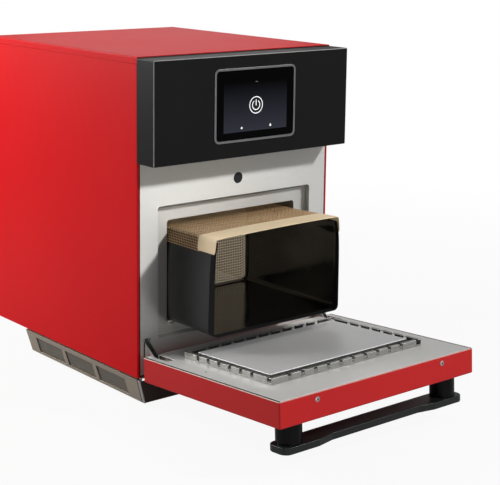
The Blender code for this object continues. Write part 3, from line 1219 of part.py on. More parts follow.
def add_door_shell(door):
    """The red outer shell is a folded box that is open towards the oven."""
    z = (up(DOOR_LOW), up(DOOR_HIGH))
    shell = pan("door_shell", wide(DOOR_WIDTH), (DOOR_FRONT_Y, DOOR_BACK_Y), z, ("+Y",), DOOR_WALL, door,
                RED_PAINT,
                DOOR_ROUND)
    slots = hinge_slots((DOOR_BACK_Y - DOOR_SLOT_DEPTH, DOOR_BACK_Y + OVERRUN),
                        (z[0] - OVERRUN, z[0] + DOOR_WALL
                         + OVERRUN))
    cut(shell, group("door_shell_cutter", door, boxes=slots))


def add_door_inside(door):
    """The stainless inner sheet and the core that it is fixed to."""
    z = (up(DOOR_LOW), up(DOOR_HIGH))
    sheet_y = (DOOR_BACK_Y - BODY_SHEET, DOOR_BACK_Y)
    panel = box("door_inner_panel", grown(wide(DOOR_WIDTH), -INNER_INSET), sheet_y, grown(z, -INNER_INSET),
                door, STEEL)
    cut(panel, group("inner_panel_cutter", door,
                     boxes=hinge_slots(grown(sheet_y, OVERRUN), (z[0], up(BRACKET_NECK_HIGH)))))
    core_y = (DOOR_FRONT_Y + DOOR_WALL + FIT_GAP, sheet_y[0] - FIT_GAP)
    core_z = grown(z, -DOOR_WALL - INNER_INSET)
    core = box("door_core", wide(CORE_WIDTH), core_y, core_z, door, ZINC)
    notches = []
    for side in (-1, 1):
        x = sorted((side * (CORE_WIDTH / 2 - CORE_NOTCH), side * (CORE_WIDTH / 2 + OVERRUN)))
        notches.append((x, grown(core_y, OVERRUN), (core_z[0] - OVERRUN, z[0] + CORE_NOTCH_HEIGHT)))
    cut(core, group("door_core_cutter", door, boxes=notches))


def finger_gaps(start, stop, fingers):
    """Where the gaps lie between the fingers of one strip. Its end fingers are wider than the rest."""
    pitch = (stop - start) / (fingers - 2 + 2 * CHOKE_END_FINGER)
    middles = [start + (CHOKE_END_FINGER + i) * pitch for i in range(fingers - 1)]
    return [(middle - CHOKE_GAP / 2, middle + CHOKE_GAP / 2) for middle in middles]


def choke_gaps(x, z, y):
    """The boxes cut out between the choke fingers. Each side's strip stops short of one corner."""
    reach = CHOKE_SHEET + CHOKE_LIP
    left, right = (x[0] - OVERRUN, x[0] + reach + OVERRUN), (x[1] - reach - OVERRUN, x[1] + OVERRUN)
    low, high = (z[0] - OVERRUN, z[0] + reach + OVERRUN), (z[1] - reach - OVERRUN, z[1] + OVERRUN)
    high_gaps = [*finger_gaps(x[0], x[1] - CHOKE_CORNER, CHOKE_FINGERS_ACROSS), (x[1] - CHOKE_CORNER, x[1] - reach)]
    low_gaps = [*finger_gaps(x[0] + CHOKE_CORNER, x[1], CHOKE_FINGERS_ACROSS), (x[0] + reach, x[0] + CHOKE_CORNER)]
    left_gaps = [*finger_gaps(z[0], z[1] - CHOKE_CORNER, CHOKE_FINGERS_UP), (z[1] - CHOKE_CORNER, z[1] - reach)]
    right_gaps = [*finger_gaps(z[0] + CHOKE_CORNER, z[1], CHOKE_FINGERS_UP), (z[0] + reach, z[0] + CHOKE_CORNER)]
    return ([(gap, y, high) for gap in high_gaps] + [(gap, y, low) for gap in low_gaps]
            + [(left, y, gap) for gap in left_gaps] + [(right, y, gap) for gap in right_gaps])


def choke_corners(x, z, y):
    """The boxes cut out of each strip's wall under the end of the next strip's flange."""
    wall = CHOKE_SHEET + FIT_GAP
    reach = CHOKE_SHEET + CHOKE_LIP + OVERRUN
    return [((x[1] - reach, x[1] - wall), y, (z[1] - wall, z[1] + OVERRUN)),
            ((x[0] + wall, x[0] + reach), y, (z[0] - OVERRUN, z[0] + wall)),
            ((x[0] - OVERRUN, x[0] + wall), y, (z[1] - reach, z[1] - wall)),
            ((x[1] - wall, x[1] + OVERRUN), y, (z[0] + wall, z[0] + reach))]


def add_choke(door):
    """A ring of bent fingers round a raised plate keeps the microwaves in."""
    root = DOOR_BACK_Y + FIT_GAP
    tip = DOOR_BACK_Y + CHOKE_DEPTH
    x = grown(wide(RECESS_WIDTH), -CHOKE_SIDE_CLEARANCE)
    z = (up(RECESS_LOW + CHOKE_LOW_CLEARANCE), up(RECESS_HIGH - CHOKE_HIGH_CLEARANCE))
    ring = box("choke_frame", x, (root, tip), z, door, STEEL)
    cut(ring, box("choke_inside_cutter", grown(x, -CHOKE_SHEET), (root - OVERRUN, tip - CHOKE_SHEET),
                  grown(z, -CHOKE_SHEET), door))
    lip = CHOKE_SHEET + CHOKE_LIP
    cut(ring, box("choke_mouth_cutter", grown(x, -lip), (root, tip + OVERRUN), grown(z, -lip), door))
    cut(ring, group("choke_gaps_cutter", door, boxes=choke_gaps(x, z, (root + CHOKE_ROOT, tip + OVERRUN))))
    cut(ring, group("choke_corners_cutter", door,
                    boxes=choke_corners(x, z, (root + CHOKE_ROOT, tip - CHOKE_SHEET - FIT_GAP))))
    plate_z = (up(CAVITY_LOW + PLATE_LOW_STEP), up(CAVITY_HIGH + PLATE_HIGH_LAP))
    pan("choke_plate", grown(wide(CAVITY_WIDTH), PLATE_SIDE_LAP), (root, tip), plate_z, ("-Y",), CHOKE_SHEET,
        door, STEEL, PLATE_ROUND)


def add_handle(door):
    """A flat bar with a cut-back middle on two round posts."""
    z = (up(BAR_LOW), up(BAR_HIGH))
    bar_y = (DOOR_BACK_Y - BAR_BACK - BAR_THICKNESS, DOOR_BACK_Y - BAR_BACK)
    corner = BAR_CORNER
    end = BAR_HALF_LENGTH - corner
    half = [*arc(end, z[0] + corner, corner, -90, 0, 4), *arc(end, z[1] - corner, corner, 0, 90, 4),
            (BAR_HALF_LENGTH - BAR_WAIST_END_INSET, z[1]),
            (BAR_HALF_LENGTH - BAR_WAIST_FLAT_INSET, z[1] - BAR_WAIST_CUT)]
    outline = half + [(-x, height) for x, height in half[::-1]]
    bar = outline_solid("handle_bar", outline, bar_y, "Y", door, BLACK_PLASTIC)
    soften(bar, BAR_EDGE)
    start = DOOR_FRONT_Y - FIT_GAP
    stop = bar_y[1] + FIT_GAP
    for name, side in (("handle_post_left", -1), ("handle_post_right", 1)):
        rod(name, (side * POST_X, (start + stop) / 2, up(POST_HEIGHT)), POST_RADIUS, start - stop, "Y",
            door, BLACK_PLASTIC, 36)


def add_hinge_brackets(cabinet):
    """Each bracket has two cheeks that reach through the front frame and hold the pin."""
    frame_back = BODY_SHEET + FIT_GAP
    nose = AXIS_Y - BRACKET_NOSE_REACH
    shoulder = AXIS_Y - BRACKET_SHOULDER_REACH
    outline = [(nose, up(DOOR_LOW)), (0.0, up(BRACKET_LOW)), (BRACKET_TAIL, up(BRACKET_LOW)),
               (BRACKET_TAIL, up(BRACKET_TAIL_HIGH)), (frame_back, up(BRACKET_TAIL_HIGH)),
               (frame_back, up(BRACKET_NECK_HIGH)), (0.0, up(BRACKET_NECK_HIGH)),
               (shoulder, up(AXIS_HEIGHT + BRACKET_SHOULDER_RISE)),
               (nose, up(AXIS_HEIGHT + BRACKET_NOSE_RISE))]
    for name, side in (("hinge_bracket_left", -1), ("hinge_bracket_right", 1)):
        x = (side * HINGE_X - BRACKET_WIDTH / 2, side * HINGE_X + BRACKET_WIDTH / 2)
        bracket = outline_solid(name, outline, x, "X", cabinet, ZINC)
        cut(bracket, box(name + "_cutter", grown(x, -BRACKET_CHEEK),
                         (nose - OVERRUN, BRACKET_TAIL - BRACKET_WEB),
                         (up(BRACKET_LOW) - OVERRUN, up(BRACKET_TAIL_HIGH) + OVERRUN), cabinet))
        cut(bracket, rod(name + "_bore", (side * HINGE_X, AXIS_Y, up(AXIS_HEIGHT)), PIN_RADIUS + FIT_GAP,
                         BRACKET_WIDTH + 2 * OVERRUN, "X", cabinet, sides=20))


def add_hinge_pins(cabinet):
    for name, side in (("hinge_pin_left", -1), ("hinge_pin_right", 1)):
        rod(name, (side * HINGE_X, AXIS_Y, up(AXIS_HEIGHT)), PIN_RADIUS, PIN_LENGTH, "X", cabinet, STEEL, 20)


def add_knuckles(door):
    """Each knuckle plate turns on its pin between the bracket's cheeks and is fixed to the door core."""
    axis = (AXIS_Y, up(AXIS_HEIGHT))
    around = arc(axis[0], axis[1], KNUCKLE_RADIUS, 180, 360, 8)
    high = up(DOOR_LOW + KNUCKLE_HIGH)
    neck = up(DOOR_LOW + KNUCKLE_NECK_HIGH)
    front = DOOR_FRONT_Y + KNUCKLE_FRONT_INSET
    back = DOOR_BACK_Y - KNUCKLE_BACK_INSET
    outline = [*around, (back, neck), (back, high), (front, high), (front, neck)]
    for name, side in (("knuckle_left", -1), ("knuckle_right", 1)):
        x = (side * HINGE_X - KNUCKLE_HALF, side * HINGE_X + KNUCKLE_HALF)
        plate = outline_solid(name, outline, x, "X", door, ZINC)
        cut(plate, rod(name + "_bore", (side * HINGE_X, *axis), PIN_RADIUS + FIT_GAP, BRACKET_WIDTH, "X",
                       door, sides=20))


def liner_base():
    """The liner stands on the ceramic floor."""
    return up(CAVITY_LOW) + FIT_GAP + CERAMIC_THICKNESS + FIT_GAP


def add_liner_shell(liner):
    """Dark coated sheet makes the floor and the slightly bowed sides."""
    low = liner_base()
    band = up(LINER_HIGH - LINER_BAND)
    centre = LINER_LOW_WIDTH / 2 - LINER_CORNER
    right = [*arc(centre, low + LINER_CORNER, LINER_CORNER, -90, 0, 5),
             (LINER_MID_WIDTH / 2, up(LINER_MID_HEIGHT)),
             (LINER_BAND_WIDTH / 2, band - FIT_GAP)]
    left = [(-x, height) for x, height in right[::-1]]
    outline_solid("liner_shell", ribbon(left + right, LINER_SHEET),
                  (LINER_FRONT, LINER_FRONT + LINER_LENGTH), "Y",
                  liner, LINER_BLACK)


def liner_roof():
    """The roof's section: up one side band, over the top and down the other, drawn from right to left."""
    high = up(LINER_HIGH)
    band = high - LINER_BAND
    corner = LINER_TOP_ROUND
    right = [(LINER_BAND_WIDTH / 2, band), *arc(LINER_TOP_WIDTH / 2 - corner, high - corner, corner, 0, 90,
                                                3)]
    left = [(-x, height) for x, height in right[::-1]]
    return ribbon(right + left, LINER_SHEET)


def add_liner_roof(liner):
    """Open mesh makes the roof and the back; cream binding is sewn round its front edge."""
    seam = LINER_FRONT + BINDING_LENGTH
    back = LINER_FRONT + LINER_LENGTH
    outline_solid("liner_binding", liner_roof(), (LINER_FRONT, seam), "Y", liner, CREAM)
    mesh = outline_solid("liner_mesh", liner_roof(), (seam + FIT_GAP, back), "Y", liner, MESH_BROWN)
    top = up(LINER_HIGH) - LINER_SHEET / 2
    join(mesh, box("liner_back_tool", wide(LINER_BACK_WIDTH), (back - LINER_SHEET, back),
                   (up(LINER_BACK_LOW), top),
                   liner))


def front_reach():
    """How far the open door stands in front of the frame, at the outer edge of its free end."""
    along = up(DOOR_HIGH) - up(AXIS_HEIGHT)
    out = DOOR_FRONT_Y - AXIS_Y
    return -(AXIS_Y + out * math.cos(DOOR_OPEN) - along * math.sin(DOOR_OPEN))


clear_scene()
parts = new_collection("speed_oven")
cutters = new_collection("cutters")
middle_y = (CASE_DEPTH - front_reach()) / 2
cabinet_carrier = new_carrier("oven_base", (0.0, 0.0, 0.0))
cabinet_carrier.empty.location = (0.0, -middle_y, 0.0)
door_carrier = new_carrier("door_axis", (0.0, AXIS_Y, up(AXIS_HEIGHT)), cabinet_carrier, DOOR_OPEN)
liner_carrier = new_carrier("liner_runner", (0.0, LINER_FRONT, up(CAVITY_LOW)), cabinet_carrier)
blower_carrier = new_carrier("blower_axis", (0.0, BLOWER_DISC_BACK, up(BLOWER_HEIGHT)), cabinet_carrier)
fan_carrier = new_carrier("cooling_fan_axis", (FAN_X, FAN_FRONT, up(FAN_HEIGHT)), cabinet_carrier)
antenna_carrier = new_carrier("antenna_axis", (0.0, CAVITY_MIDDLE_Y, up(GUIDE_LOW)), cabinet_carrier)

add_side_panels(cabinet_carrier)
add_top_cover(cabinet_carrier)
add_rear_panel(cabinet_carrier)
add_base_tray(cabinet_carrier)
add_front_frame(cabinet_carrier)
add_frame_plug(cabinet_carrier)
add_recess_channel(cabinet_carrier)
add_cavity(cabinet_carrier)
add_ceramic_floor(cabinet_carrier)
add_insulation(cabinet_carrier)
add_jet_duct(cabinet_carrier)
add_fan_chamber(cabinet_carrier)
add_heater(cabinet_carrier)
add_blower(cabinet_carrier, blower_carrier)
add_antenna_well(cabinet_carrier)
add_antenna(cabinet_carrier, antenna_carrier)
add_waveguide(cabinet_carrier)
add_magnetron(cabinet_carrier)
add_shelf(cabinet_carrier)
add_inverter(cabinet_carrier)
add_control_board(cabinet_carrier)
add_cooling_fan(cabinet_carrier, fan_carrier)
add_mains_gland(cabinet_carrier)
add_door_switch(cabinet_carrier)
add_plinth_sides(cabinet_carrier)
add_plinth_filters(cabinet_carrier)
add_plinth_ends(cabinet_carrier)
add_feet(cabinet_carrier)
add_fascia(cabinet_carrier)
add_screen(cabinet_carrier)
add_door_shell(door_carrier)
add_door_inside(door_carrier)
add_choke(door_carrier)
add_handle(door_carrier)
add_hinge_brackets(cabinet_carrier)
add_hinge_pins(cabinet_carrier)
add_knuckles(door_carrier)
add_liner_shell(liner_carrier)
add_liner_roof(liner_carrier)
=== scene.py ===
import json
import math

import bmesh
import bpy
from mathutils import Matrix, Vector


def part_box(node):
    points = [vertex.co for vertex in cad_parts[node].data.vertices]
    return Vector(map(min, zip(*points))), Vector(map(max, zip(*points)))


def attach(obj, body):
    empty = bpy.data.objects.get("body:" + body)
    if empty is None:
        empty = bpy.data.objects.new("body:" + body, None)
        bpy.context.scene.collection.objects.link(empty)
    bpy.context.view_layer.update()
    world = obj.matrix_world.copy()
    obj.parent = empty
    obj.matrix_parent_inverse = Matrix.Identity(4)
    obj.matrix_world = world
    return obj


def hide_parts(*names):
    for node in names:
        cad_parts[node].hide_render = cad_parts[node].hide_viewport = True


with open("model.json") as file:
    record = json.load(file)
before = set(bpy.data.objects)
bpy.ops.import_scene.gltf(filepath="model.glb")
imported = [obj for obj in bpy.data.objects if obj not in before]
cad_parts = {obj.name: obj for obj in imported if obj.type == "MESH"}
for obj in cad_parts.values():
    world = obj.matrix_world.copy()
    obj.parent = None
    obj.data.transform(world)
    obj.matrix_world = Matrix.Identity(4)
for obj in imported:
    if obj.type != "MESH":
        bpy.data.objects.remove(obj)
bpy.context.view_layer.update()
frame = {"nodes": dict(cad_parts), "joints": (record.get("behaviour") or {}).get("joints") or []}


# Finishes: a finish is worked out from a place on the piece, with arithmetic that adds the nodes for it.
class Wire:
    """One value in a finish. Arithmetic on it adds the Math nodes that work it out."""

    def __init__(self, tree, made, output=0):
        self.tree = tree
        self.socket = made.outputs[output]

    def node(self, kind, settings, values, output=0):
        """Adds any other node: its settings first, then a value or a wire for each socket named."""
        made = self.tree.nodes.new("ShaderNode" + kind)
        for name, value in settings.items():
            setattr(made, name, value)
        for name, value in values.items():
            if isinstance(value, Wire):
                self.tree.links.new(value.socket, made.inputs[name])
            else:
                made.inputs[name].default_value = value
        return Wire(self.tree, made, output)

    def math(self, operation, *terms):
        return self.node("Math", {"operation": operation}, dict(enumerate(terms)))

    def axis(self, number):
        """One coordinate of a place: 0 is x, 1 is y and 2 is z."""
        return self.node("SeparateXYZ", {}, {0: self}, number)

    def __add__(self, other):
        return self.math("ADD", self, other)

    def __radd__(self, other):
        return self.math("ADD", other, self)

    def __sub__(self, other):
        return self.math("SUBTRACT", self, other)

    def __rsub__(self, other):
        return self.math("SUBTRACT", other, self)

    def __mul__(self, other):
        return self.math("MULTIPLY", self, other)

    def __rmul__(self, other):
        return self.math("MULTIPLY", other, self)

    def __truediv__(self, other):
        return self.math("DIVIDE", self, other)

    def __mod__(self, other):
        return self.math("FLOORED_MODULO", self, other)

    def __gt__(self, other):
        return self.math("GREATER_THAN", self, other)

    def __lt__(self, other):
        return self.math("LESS_THAN", self, other)

    def __abs__(self):
        return self.math("ABSOLUTE", self)

    def feed(self, socket):
        """Leads the value to a socket of the finish's own surface shader."""
        self.tree.links.new(self.socket, self.tree.nodes["Principled BSDF"].inputs[socket])


def new_finish(name, colour, roughness, metallic=0.0, **steady):
    """A finish that is even all over, and the wire of the piece's own coordinates to vary it by."""
    made = bpy.data.materials.new(name)
    made.use_nodes = True
    surface = made.node_tree.nodes["Principled BSDF"].inputs
    surface["Base Color"].default_value = (*colour, 1.0)
    surface["Roughness"].default_value = roughness
    surface["Metallic"].default_value = metallic
    for socket, value in steady.items():
        surface[socket.replace("_", " ")].default_value = value
    return made, Wire(made.node_tree, made.node_tree.nodes.new("ShaderNodeTexCoord"), "Object")


def clouds(place, scale, stretch=(1.0, 1.0, 1.0), detail=2.0):
    """Smooth random values around 0.5 in patches 1 / scale metres across, squeezed along each axis by stretch."""
    spread = place.node("VectorMath", {"operation": "MULTIPLY"}, {0: place, 1: stretch})
    return place.node("TexNoise", {}, {"Vector": spread, "Scale": scale, "Detail": detail})


def between(share, first, second):
    """The colour that lies the given share of the way from the first to the second."""
    ends = [c if isinstance(c, Wire) else (*c, 1.0) for c in (first, second)]
    return share.node("Mix", {"data_type": "RGBA"}, {0: share, 6: ends[0], 7: ends[1]}, 2)


def emboss(height, depth):
    """Raises the surface by depth metres where height is 1."""
    height.node("Bump", {}, {"Strength": 1.0, "Distance": depth, "Height": height}).feed("Normal")


def dress(node, finish, edge=0.0004):
    """Gives a modelled part its finish and takes the knife edge off its corners."""
    piece = frame["nodes"][node]
    piece.data.materials.clear()
    piece.data.materials.append(finish)
    weld = piece.modifiers.new("weld", "WELD")
    weld.merge_threshold = 0.00002
    bevel = piece.modifiers.new("edge", "BEVEL")
    bevel.width = edge
    bevel.segments = 2
    bevel.limit_method = "ANGLE"
    bevel.angle_limit = math.radians(35)
    bevel.harden_normals = True
    return piece


def orange_peel(spot):
    """The faint orange peel of a powder coat. It gives the broad patches in which the coat drifts."""
    drift = clouds(spot, 4.0)
    peel = clouds(spot, 450.0, detail=3.0)
    (0.38 + drift * 0.08 + peel * 0.05).feed("Roughness")
    emboss(peel, 0.00008)
    return drift


# Side panels and top cover: folded steel sheet, 1.2 mm thick, with a satin red powder coat that has a
# faint orange peel. The cover's turned-down edge sits on the panels with a hairline seam, and each panel
# hooks round the front frame with a short return.
red_coat, place = new_finish("red_powder_coat", (0.52, 0.005, 0.0075), 0.42, Specular_IOR_Level=0.09)
between(orange_peel(place), (0.50, 0.003, 0.006), (0.56, 0.007, 0.009)).feed("Base Color")
for node in ("side_panel_left", "side_panel_right", "top_cover"):
    dress(node, red_coat, 0.0005)


# Rear panel and base tray: bare zinc-coated sheet, with the coating's cloudy crystals. The rear panel
# is held by flange screws, and slots in it let the cooling fan blow out.
zinc_sheet, place = new_finish("zinc_sheet", (0.42, 0.43, 0.43), 0.42, 1.0)
crystals = place.node("TexVoronoi", {}, {"Vector": place, "Scale": 90.0}, "Color")
facet = crystals.node("SeparateColor", {}, {0: crystals})
between(facet, (0.36, 0.37, 0.38), (0.50, 0.51, 0.51)).feed("Base Color")
(0.34 + facet * 0.16 + clouds(place, 12.0) * 0.08).feed("Roughness")
for node in ("rear_panel", "base_tray"):
    dress(node, zinc_sheet, 0.0003)


def ride_piece(name, mesh, finish, body):
    """Sets a finished mesh in the scene, gives it its finish, and lets it move with its body."""
    piece = bpy.data.objects.new(name, mesh)
    bpy.context.scene.collection.objects.link(piece)
    mesh.materials.append(finish)
    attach(piece, body)
    return piece


def hexagon(angle, flat):
    """How far the edge of a hexagon lies from its middle at this angle."""
    return flat / math.cos((angle + math.pi / 6) % (math.pi / 3) - math.pi / 6)


def add_screw(mesh, stand, radius, dome, flange=0.0):
    """A domed head with a hexagon socket, its middle at the origin of stand and its axis along stand's Z."""
    sides = 36
    socket = radius * 0.42
    depth = dome * 0.7
    rings = [(radius + flange, -0.0004, None), (radius + flange, 0.0003, None), (radius + 0.0001, 0.0005, None),
             (radius, dome * 0.55, None), (radius * 0.86, dome * 0.92, None), (radius * 0.6, dome, None),
             (None, dome, socket), (None, dome - depth, socket * 0.98)]
    rows = []
    for reach, height, flat in rings:
        row = []
        for i in range(sides):
            angle = 2 * math.pi * i / sides
            r = hexagon(angle, flat) if reach is None else reach
            row.append(mesh.verts.new(stand @ Vector((r * math.cos(angle), r * math.sin(angle), height))))
        rows.append(row)
    for below, above in zip(rows, rows[1:]):
        for i in range(sides):
            j = (i + 1) % sides
            side = mesh.faces.new((below[i], below[j], above[j], above[i]))
            side.material_index = 1 if above is rows[-1] else 0
    mesh.faces.new(rows[-1]).material_index = 1
    mesh.faces.new(rows[0][::-1])


def plain_mesh(name, mesh):
    """Turns the worked mesh into one for a piece, as it is."""
    made = bpy.data.meshes.new(name)
    mesh.to_mesh(made)
    mesh.free()
    return made


def finished_mesh(name, mesh, smooth_to=35.0):
    """Turns the worked mesh into one that is smooth up to this angle and sharp past it."""
    bmesh.ops.recalc_face_normals(mesh, faces=mesh.faces)
    for face in mesh.faces:
        face.smooth = True
    for edge in mesh.edges:
        edge.smooth = edge.is_boundary or edge.calc_face_angle(0.0) < math.radians(smooth_to)
    return plain_mesh(name, mesh)


screw_steel, place = new_finish("screw_steel", (0.50, 0.49, 0.47), 0.3, 1.0)
turned_marks = clouds(place, 900.0)
(0.22 + turned_marks * 0.2).feed("Roughness")
between(clouds(place, 200.0), (0.40, 0.39, 0.37), (0.56, 0.55, 0.53)).feed("Base Color")

# The screws' sockets are painted near black: painted shade in their hollows.
socket_shade, place = new_finish("screw_socket_painted_shade", (0.02, 0.02, 0.02), 0.6)
(0.5 + clouds(place, 600.0) * 0.2).feed("Roughness")


def ride_screws(name, mesh, body):
    """Sets a group of screws in the scene, with painted shade in their sockets."""
    made = ride_piece(name, finished_mesh(name, mesh), screw_steel, body)
    made.data.materials.append(socket_shade)


low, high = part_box("rear_panel")
side_inset, end_inset, inner_inset = 0.010, 0.012, 0.2
work = bmesh.new()
for z in (low.z + end_inset, low.z + inner_inset, high.z - inner_inset, high.z - end_inset):
    for x in (low.x + side_inset, high.x - side_inset):
        stand = Matrix.Translation((x, high.y, z)) @ Matrix.Rotation(math.radians(-90), 4, "X")
        add_screw(work, stand, 0.0030, 0.0022, flange=0.0014)
ride_screws("rear_panel_screws", work, "cabinet")


# Front frame and its sunk opening: one brushed stainless front, 1.2 mm thick, brushed from side to side,
# with a rolled lip where it steps back round the cavity's mouth. Its outer edges, and its top above the cover
# seam, carry painted shade for the seams to the case. A snap-in plastic plug closes a spare hole.
cover_seam = 0.655


def brushed(name, colour, roughness, strength, metallic, shaded=1.0, **steady):
    """Stainless steel whose brush strokes run from side to side, with painted shade in its seams past x = shaded and
    above the cover seam.
    """
    made, spot = new_finish(name, colour, roughness, metallic, **steady)
    strokes = clouds(spot, 30.0, (1.0, 90.0, 90.0), 3.0)
    handling = clouds(spot, 7.0, detail=3.0)
    light, dark = [tuple(c * k for c in colour) for k in (1.12, 0.88)]
    # Painted shade: past x = shaded and above the cover seam the steel is painted near black.
    painted_seam_shade = spot.math("MAXIMUM", abs(spot.axis(0)) > shaded, spot.axis(2) > cover_seam)
    between(painted_seam_shade, between(strokes, dark, light), (0.025, 0.024, 0.022)).feed("Base Color")
    (roughness - 0.1 + strokes * 0.14 + handling * 0.08).feed("Roughness")
    emboss(strokes, strength)
    return made


front_steel = brushed("brushed_front_steel", (0.64, 0.635, 0.61), 0.48, 0.00003, 0.92, 0.2262,
                      Anisotropic=0.8, Anisotropic_Rotation=0.25)
for node in ("front_frame", "recess_channel"):
    dress(node, front_steel, 0.0004)

plug_plastic, place = new_finish("plug_plastic", (0.008, 0.008, 0.009), 0.22)
(0.16 + clouds(place, 500.0) * 0.12).feed("Roughness")
dress("frame_plug", plug_plastic, 0.0003)


# Cavity: a drawn stainless box, duller and a little tanned by heat towards the back, with a glass-ceramic
# floor plate over the antenna. Its flange closes the front opening.
cavity_steel, place = new_finish("cavity_steel", (0.52, 0.50, 0.46), 0.46, 0.94, Anisotropic=0.8,
                                 Anisotropic_Rotation=0.25)
tan_from, tan_to = -0.04, 0.25
tan_share = place.node("MapRange", {"clamp": True}, {0: place.axis(1), 1: tan_from, 2: tan_to, 3: 0.0, 4: 1.0})
between(tan_share, (0.56, 0.55, 0.52), (0.34, 0.27, 0.18)).feed("Base Color")
(0.36 + clouds(place, 60.0, (1.0, 20.0, 20.0)) * 0.2).feed("Roughness")
dress("cavity", cavity_steel, 0.0003)

floor_ceramic, place = new_finish("floor_ceramic", (0.55, 0.52, 0.46), 0.3)
speck = clouds(place, 1500.0)
between(speck, (0.44, 0.41, 0.36), (0.64, 0.61, 0.55)).feed("Base Color")
(0.24 + clouds(place, 25.0) * 0.16).feed("Roughness")
dress("ceramic_floor", floor_ceramic, 0.0005)


# Hot-air parts: jet duct, fan chamber, blower wheel and its motor, the sheathed heater round the wheel,
# and mineral wool wrapped round the cavity. Bright sheet goes straw and blue where it has been hot.
hot_sheet, place = new_finish("heat_tinted_sheet", (0.46, 0.44, 0.40), 0.36, 1.0)
tint = clouds(place, 9.0, detail=3.0)
between(tint, (0.36, 0.30, 0.22), (0.54, 0.53, 0.50)).feed("Base Color")
(0.28 + tint * 0.18).feed("Roughness")
for node in ("jet_duct", "fan_chamber", "blower_wheel"):
    dress(node, hot_sheet, 0.0002)

heater_sheath, place = new_finish("heater_sheath", (0.10, 0.09, 0.08), 0.5, 0.8)
scale = clouds(place, 160.0, detail=4.0)
between(scale, (0.06, 0.055, 0.05), (0.17, 0.14, 0.12)).feed("Base Color")
(0.4 + scale * 0.2).feed("Roughness")
dress("heater", heater_sheath, 0.0002)

motor_shell, place = new_finish("motor_shell", (0.40, 0.40, 0.39), 0.4, 1.0)
laminations = clouds(place, 20.0, (1.0, 60.0, 1.0))
between(laminations, (0.28, 0.28, 0.28), (0.50, 0.50, 0.49)).feed("Base Color")
(0.3 + laminations * 0.2).feed("Roughness")
for node in ("blower_motor", "antenna_motor"):
    dress(node, motor_shell, 0.0005)

wool, place = new_finish("mineral_wool", (0.66, 0.62, 0.50), 0.95)
fibres = clouds(place, 300.0, (1.0, 0.25, 1.0), 5.0)
between(fibres, (0.50, 0.46, 0.36), (0.80, 0.77, 0.66)).feed("Base Color")
emboss(fibres, 0.0012)
dress("insulation", wool, 0.001)


# Microwave parts under the cavity: drawn antenna well, slotted turning antenna, waveguide and magnetron.
# The well, antenna and waveguide are aluminised sheet; the magnetron is a stack of cooling fins in a yoke.
soft_metal, place = new_finish("aluminised_sheet", (0.62, 0.62, 0.61), 0.38, 1.0)
rolled = clouds(place, 25.0, (30.0, 1.0, 1.0))
between(rolled, (0.54, 0.54, 0.54), (0.70, 0.70, 0.69)).feed("Base Color")
(0.3 + rolled * 0.16).feed("Roughness")
for node in ("antenna_well", "antenna", "waveguide"):
    dress(node, soft_metal, 0.0003)

yoke_metal, place = new_finish("yoke_metal", (0.46, 0.45, 0.42), 0.45, 1.0)
passivated = clouds(place, 30.0, detail=3.0)
between(passivated, (0.52, 0.45, 0.28), (0.44, 0.46, 0.48)).feed("Base Color")
(0.34 + passivated * 0.2).feed("Roughness")
dress("magnetron", yoke_metal, 0.0004)


# Electronics over the cavity: a zinc shelf, the control board, the inverter with its finned heat sink,
# the cooling fan, the door switch and the cord's gland. The case hides all of it but the fan.
dress("electronics_shelf", zinc_sheet, 0.0003)

board_lacquer, place = new_finish("board_lacquer", (0.02, 0.14, 0.05), 0.35)
track_pitch, row_pitch = 0.004, 0.006
across_board = abs(place.axis(0) % track_pitch - track_pitch / 2) < 0.0006
along_board = abs(place.axis(1) % row_pitch - row_pitch / 2) < 0.0005
tracks = across_board + along_board
copper = tracks * (clouds(place, 60.0) > 0.5)
between(copper, (0.012, 0.11, 0.04), (0.06, 0.24, 0.09)).feed("Base Color")
emboss(copper, 0.00004)
dress("control_board", board_lacquer, 0.0002)

sink_metal, place = new_finish("heat_sink_metal", (0.55, 0.55, 0.56), 0.4, 1.0)
sawn = clouds(place, 40.0, (1.0, 30.0, 1.0))
between(sawn, (0.46, 0.46, 0.47), (0.64, 0.64, 0.65)).feed("Base Color")
(0.3 + sawn * 0.2).feed("Roughness")
dress("inverter", sink_metal, 0.0003)

moulded_black, place = new_finish("moulded_black", (0.012, 0.012, 0.013), 0.45)
spark = clouds(place, 1200.0)
(0.36 + spark * 0.18).feed("Roughness")
between(spark, (0.009, 0.009, 0.010), (0.018, 0.018, 0.019)).feed("Base Color")
emboss(spark, 0.00004)
for node in ("cooling_fan_frame", "cooling_fan_wheel", "mains_gland", "door_switch"):
    dress(node, moulded_black, 0.0003)


# Plinth: taupe-coated skirts that lean in under the case, each side with three windows, and a fine wire
# air filter behind them. A dark joint behind each front edge of the side skirts sets off a pale strip, a painted
# highlight standing for the glossy fold of the front skirt's return. The front skirt is the same sheet with a
# smoother coat, painted dark as painted shade under the door. Rubber feet carry it all.
skirt_coat, place = new_finish("skirt_coat", (0.33, 0.28, 0.22), 0.36, 0.35)
flake = clouds(place, 1400.0)
low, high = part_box("plinth_side_left")
skirt_top = high.z - 0.0052
lean_back = 0.005 / (skirt_top - low.z)
painted_highlight_end, joint_end = 0.0062, 0.0095
behind = place.axis(1) - (low.y + lean_back * skirt_top) + place.axis(2) * lean_back
coat = between(flake, (0.28, 0.24, 0.185), (0.38, 0.325, 0.26))
edged = between(behind < joint_end, coat, (0.008, 0.007, 0.007))
# Before the dark joint the side skirt is painted pale grey: a painted highlight for the front skirt's glossy fold.
between(behind < painted_highlight_end, edged, (0.42, 0.395, 0.385)).feed("Base Color")
(0.3 + clouds(place, 8.0) * 0.1 + flake * 0.06).feed("Roughness")
for node in ("plinth_side_left", "plinth_side_right", "plinth_rear"):
    dress(node, skirt_coat, 0.0004)

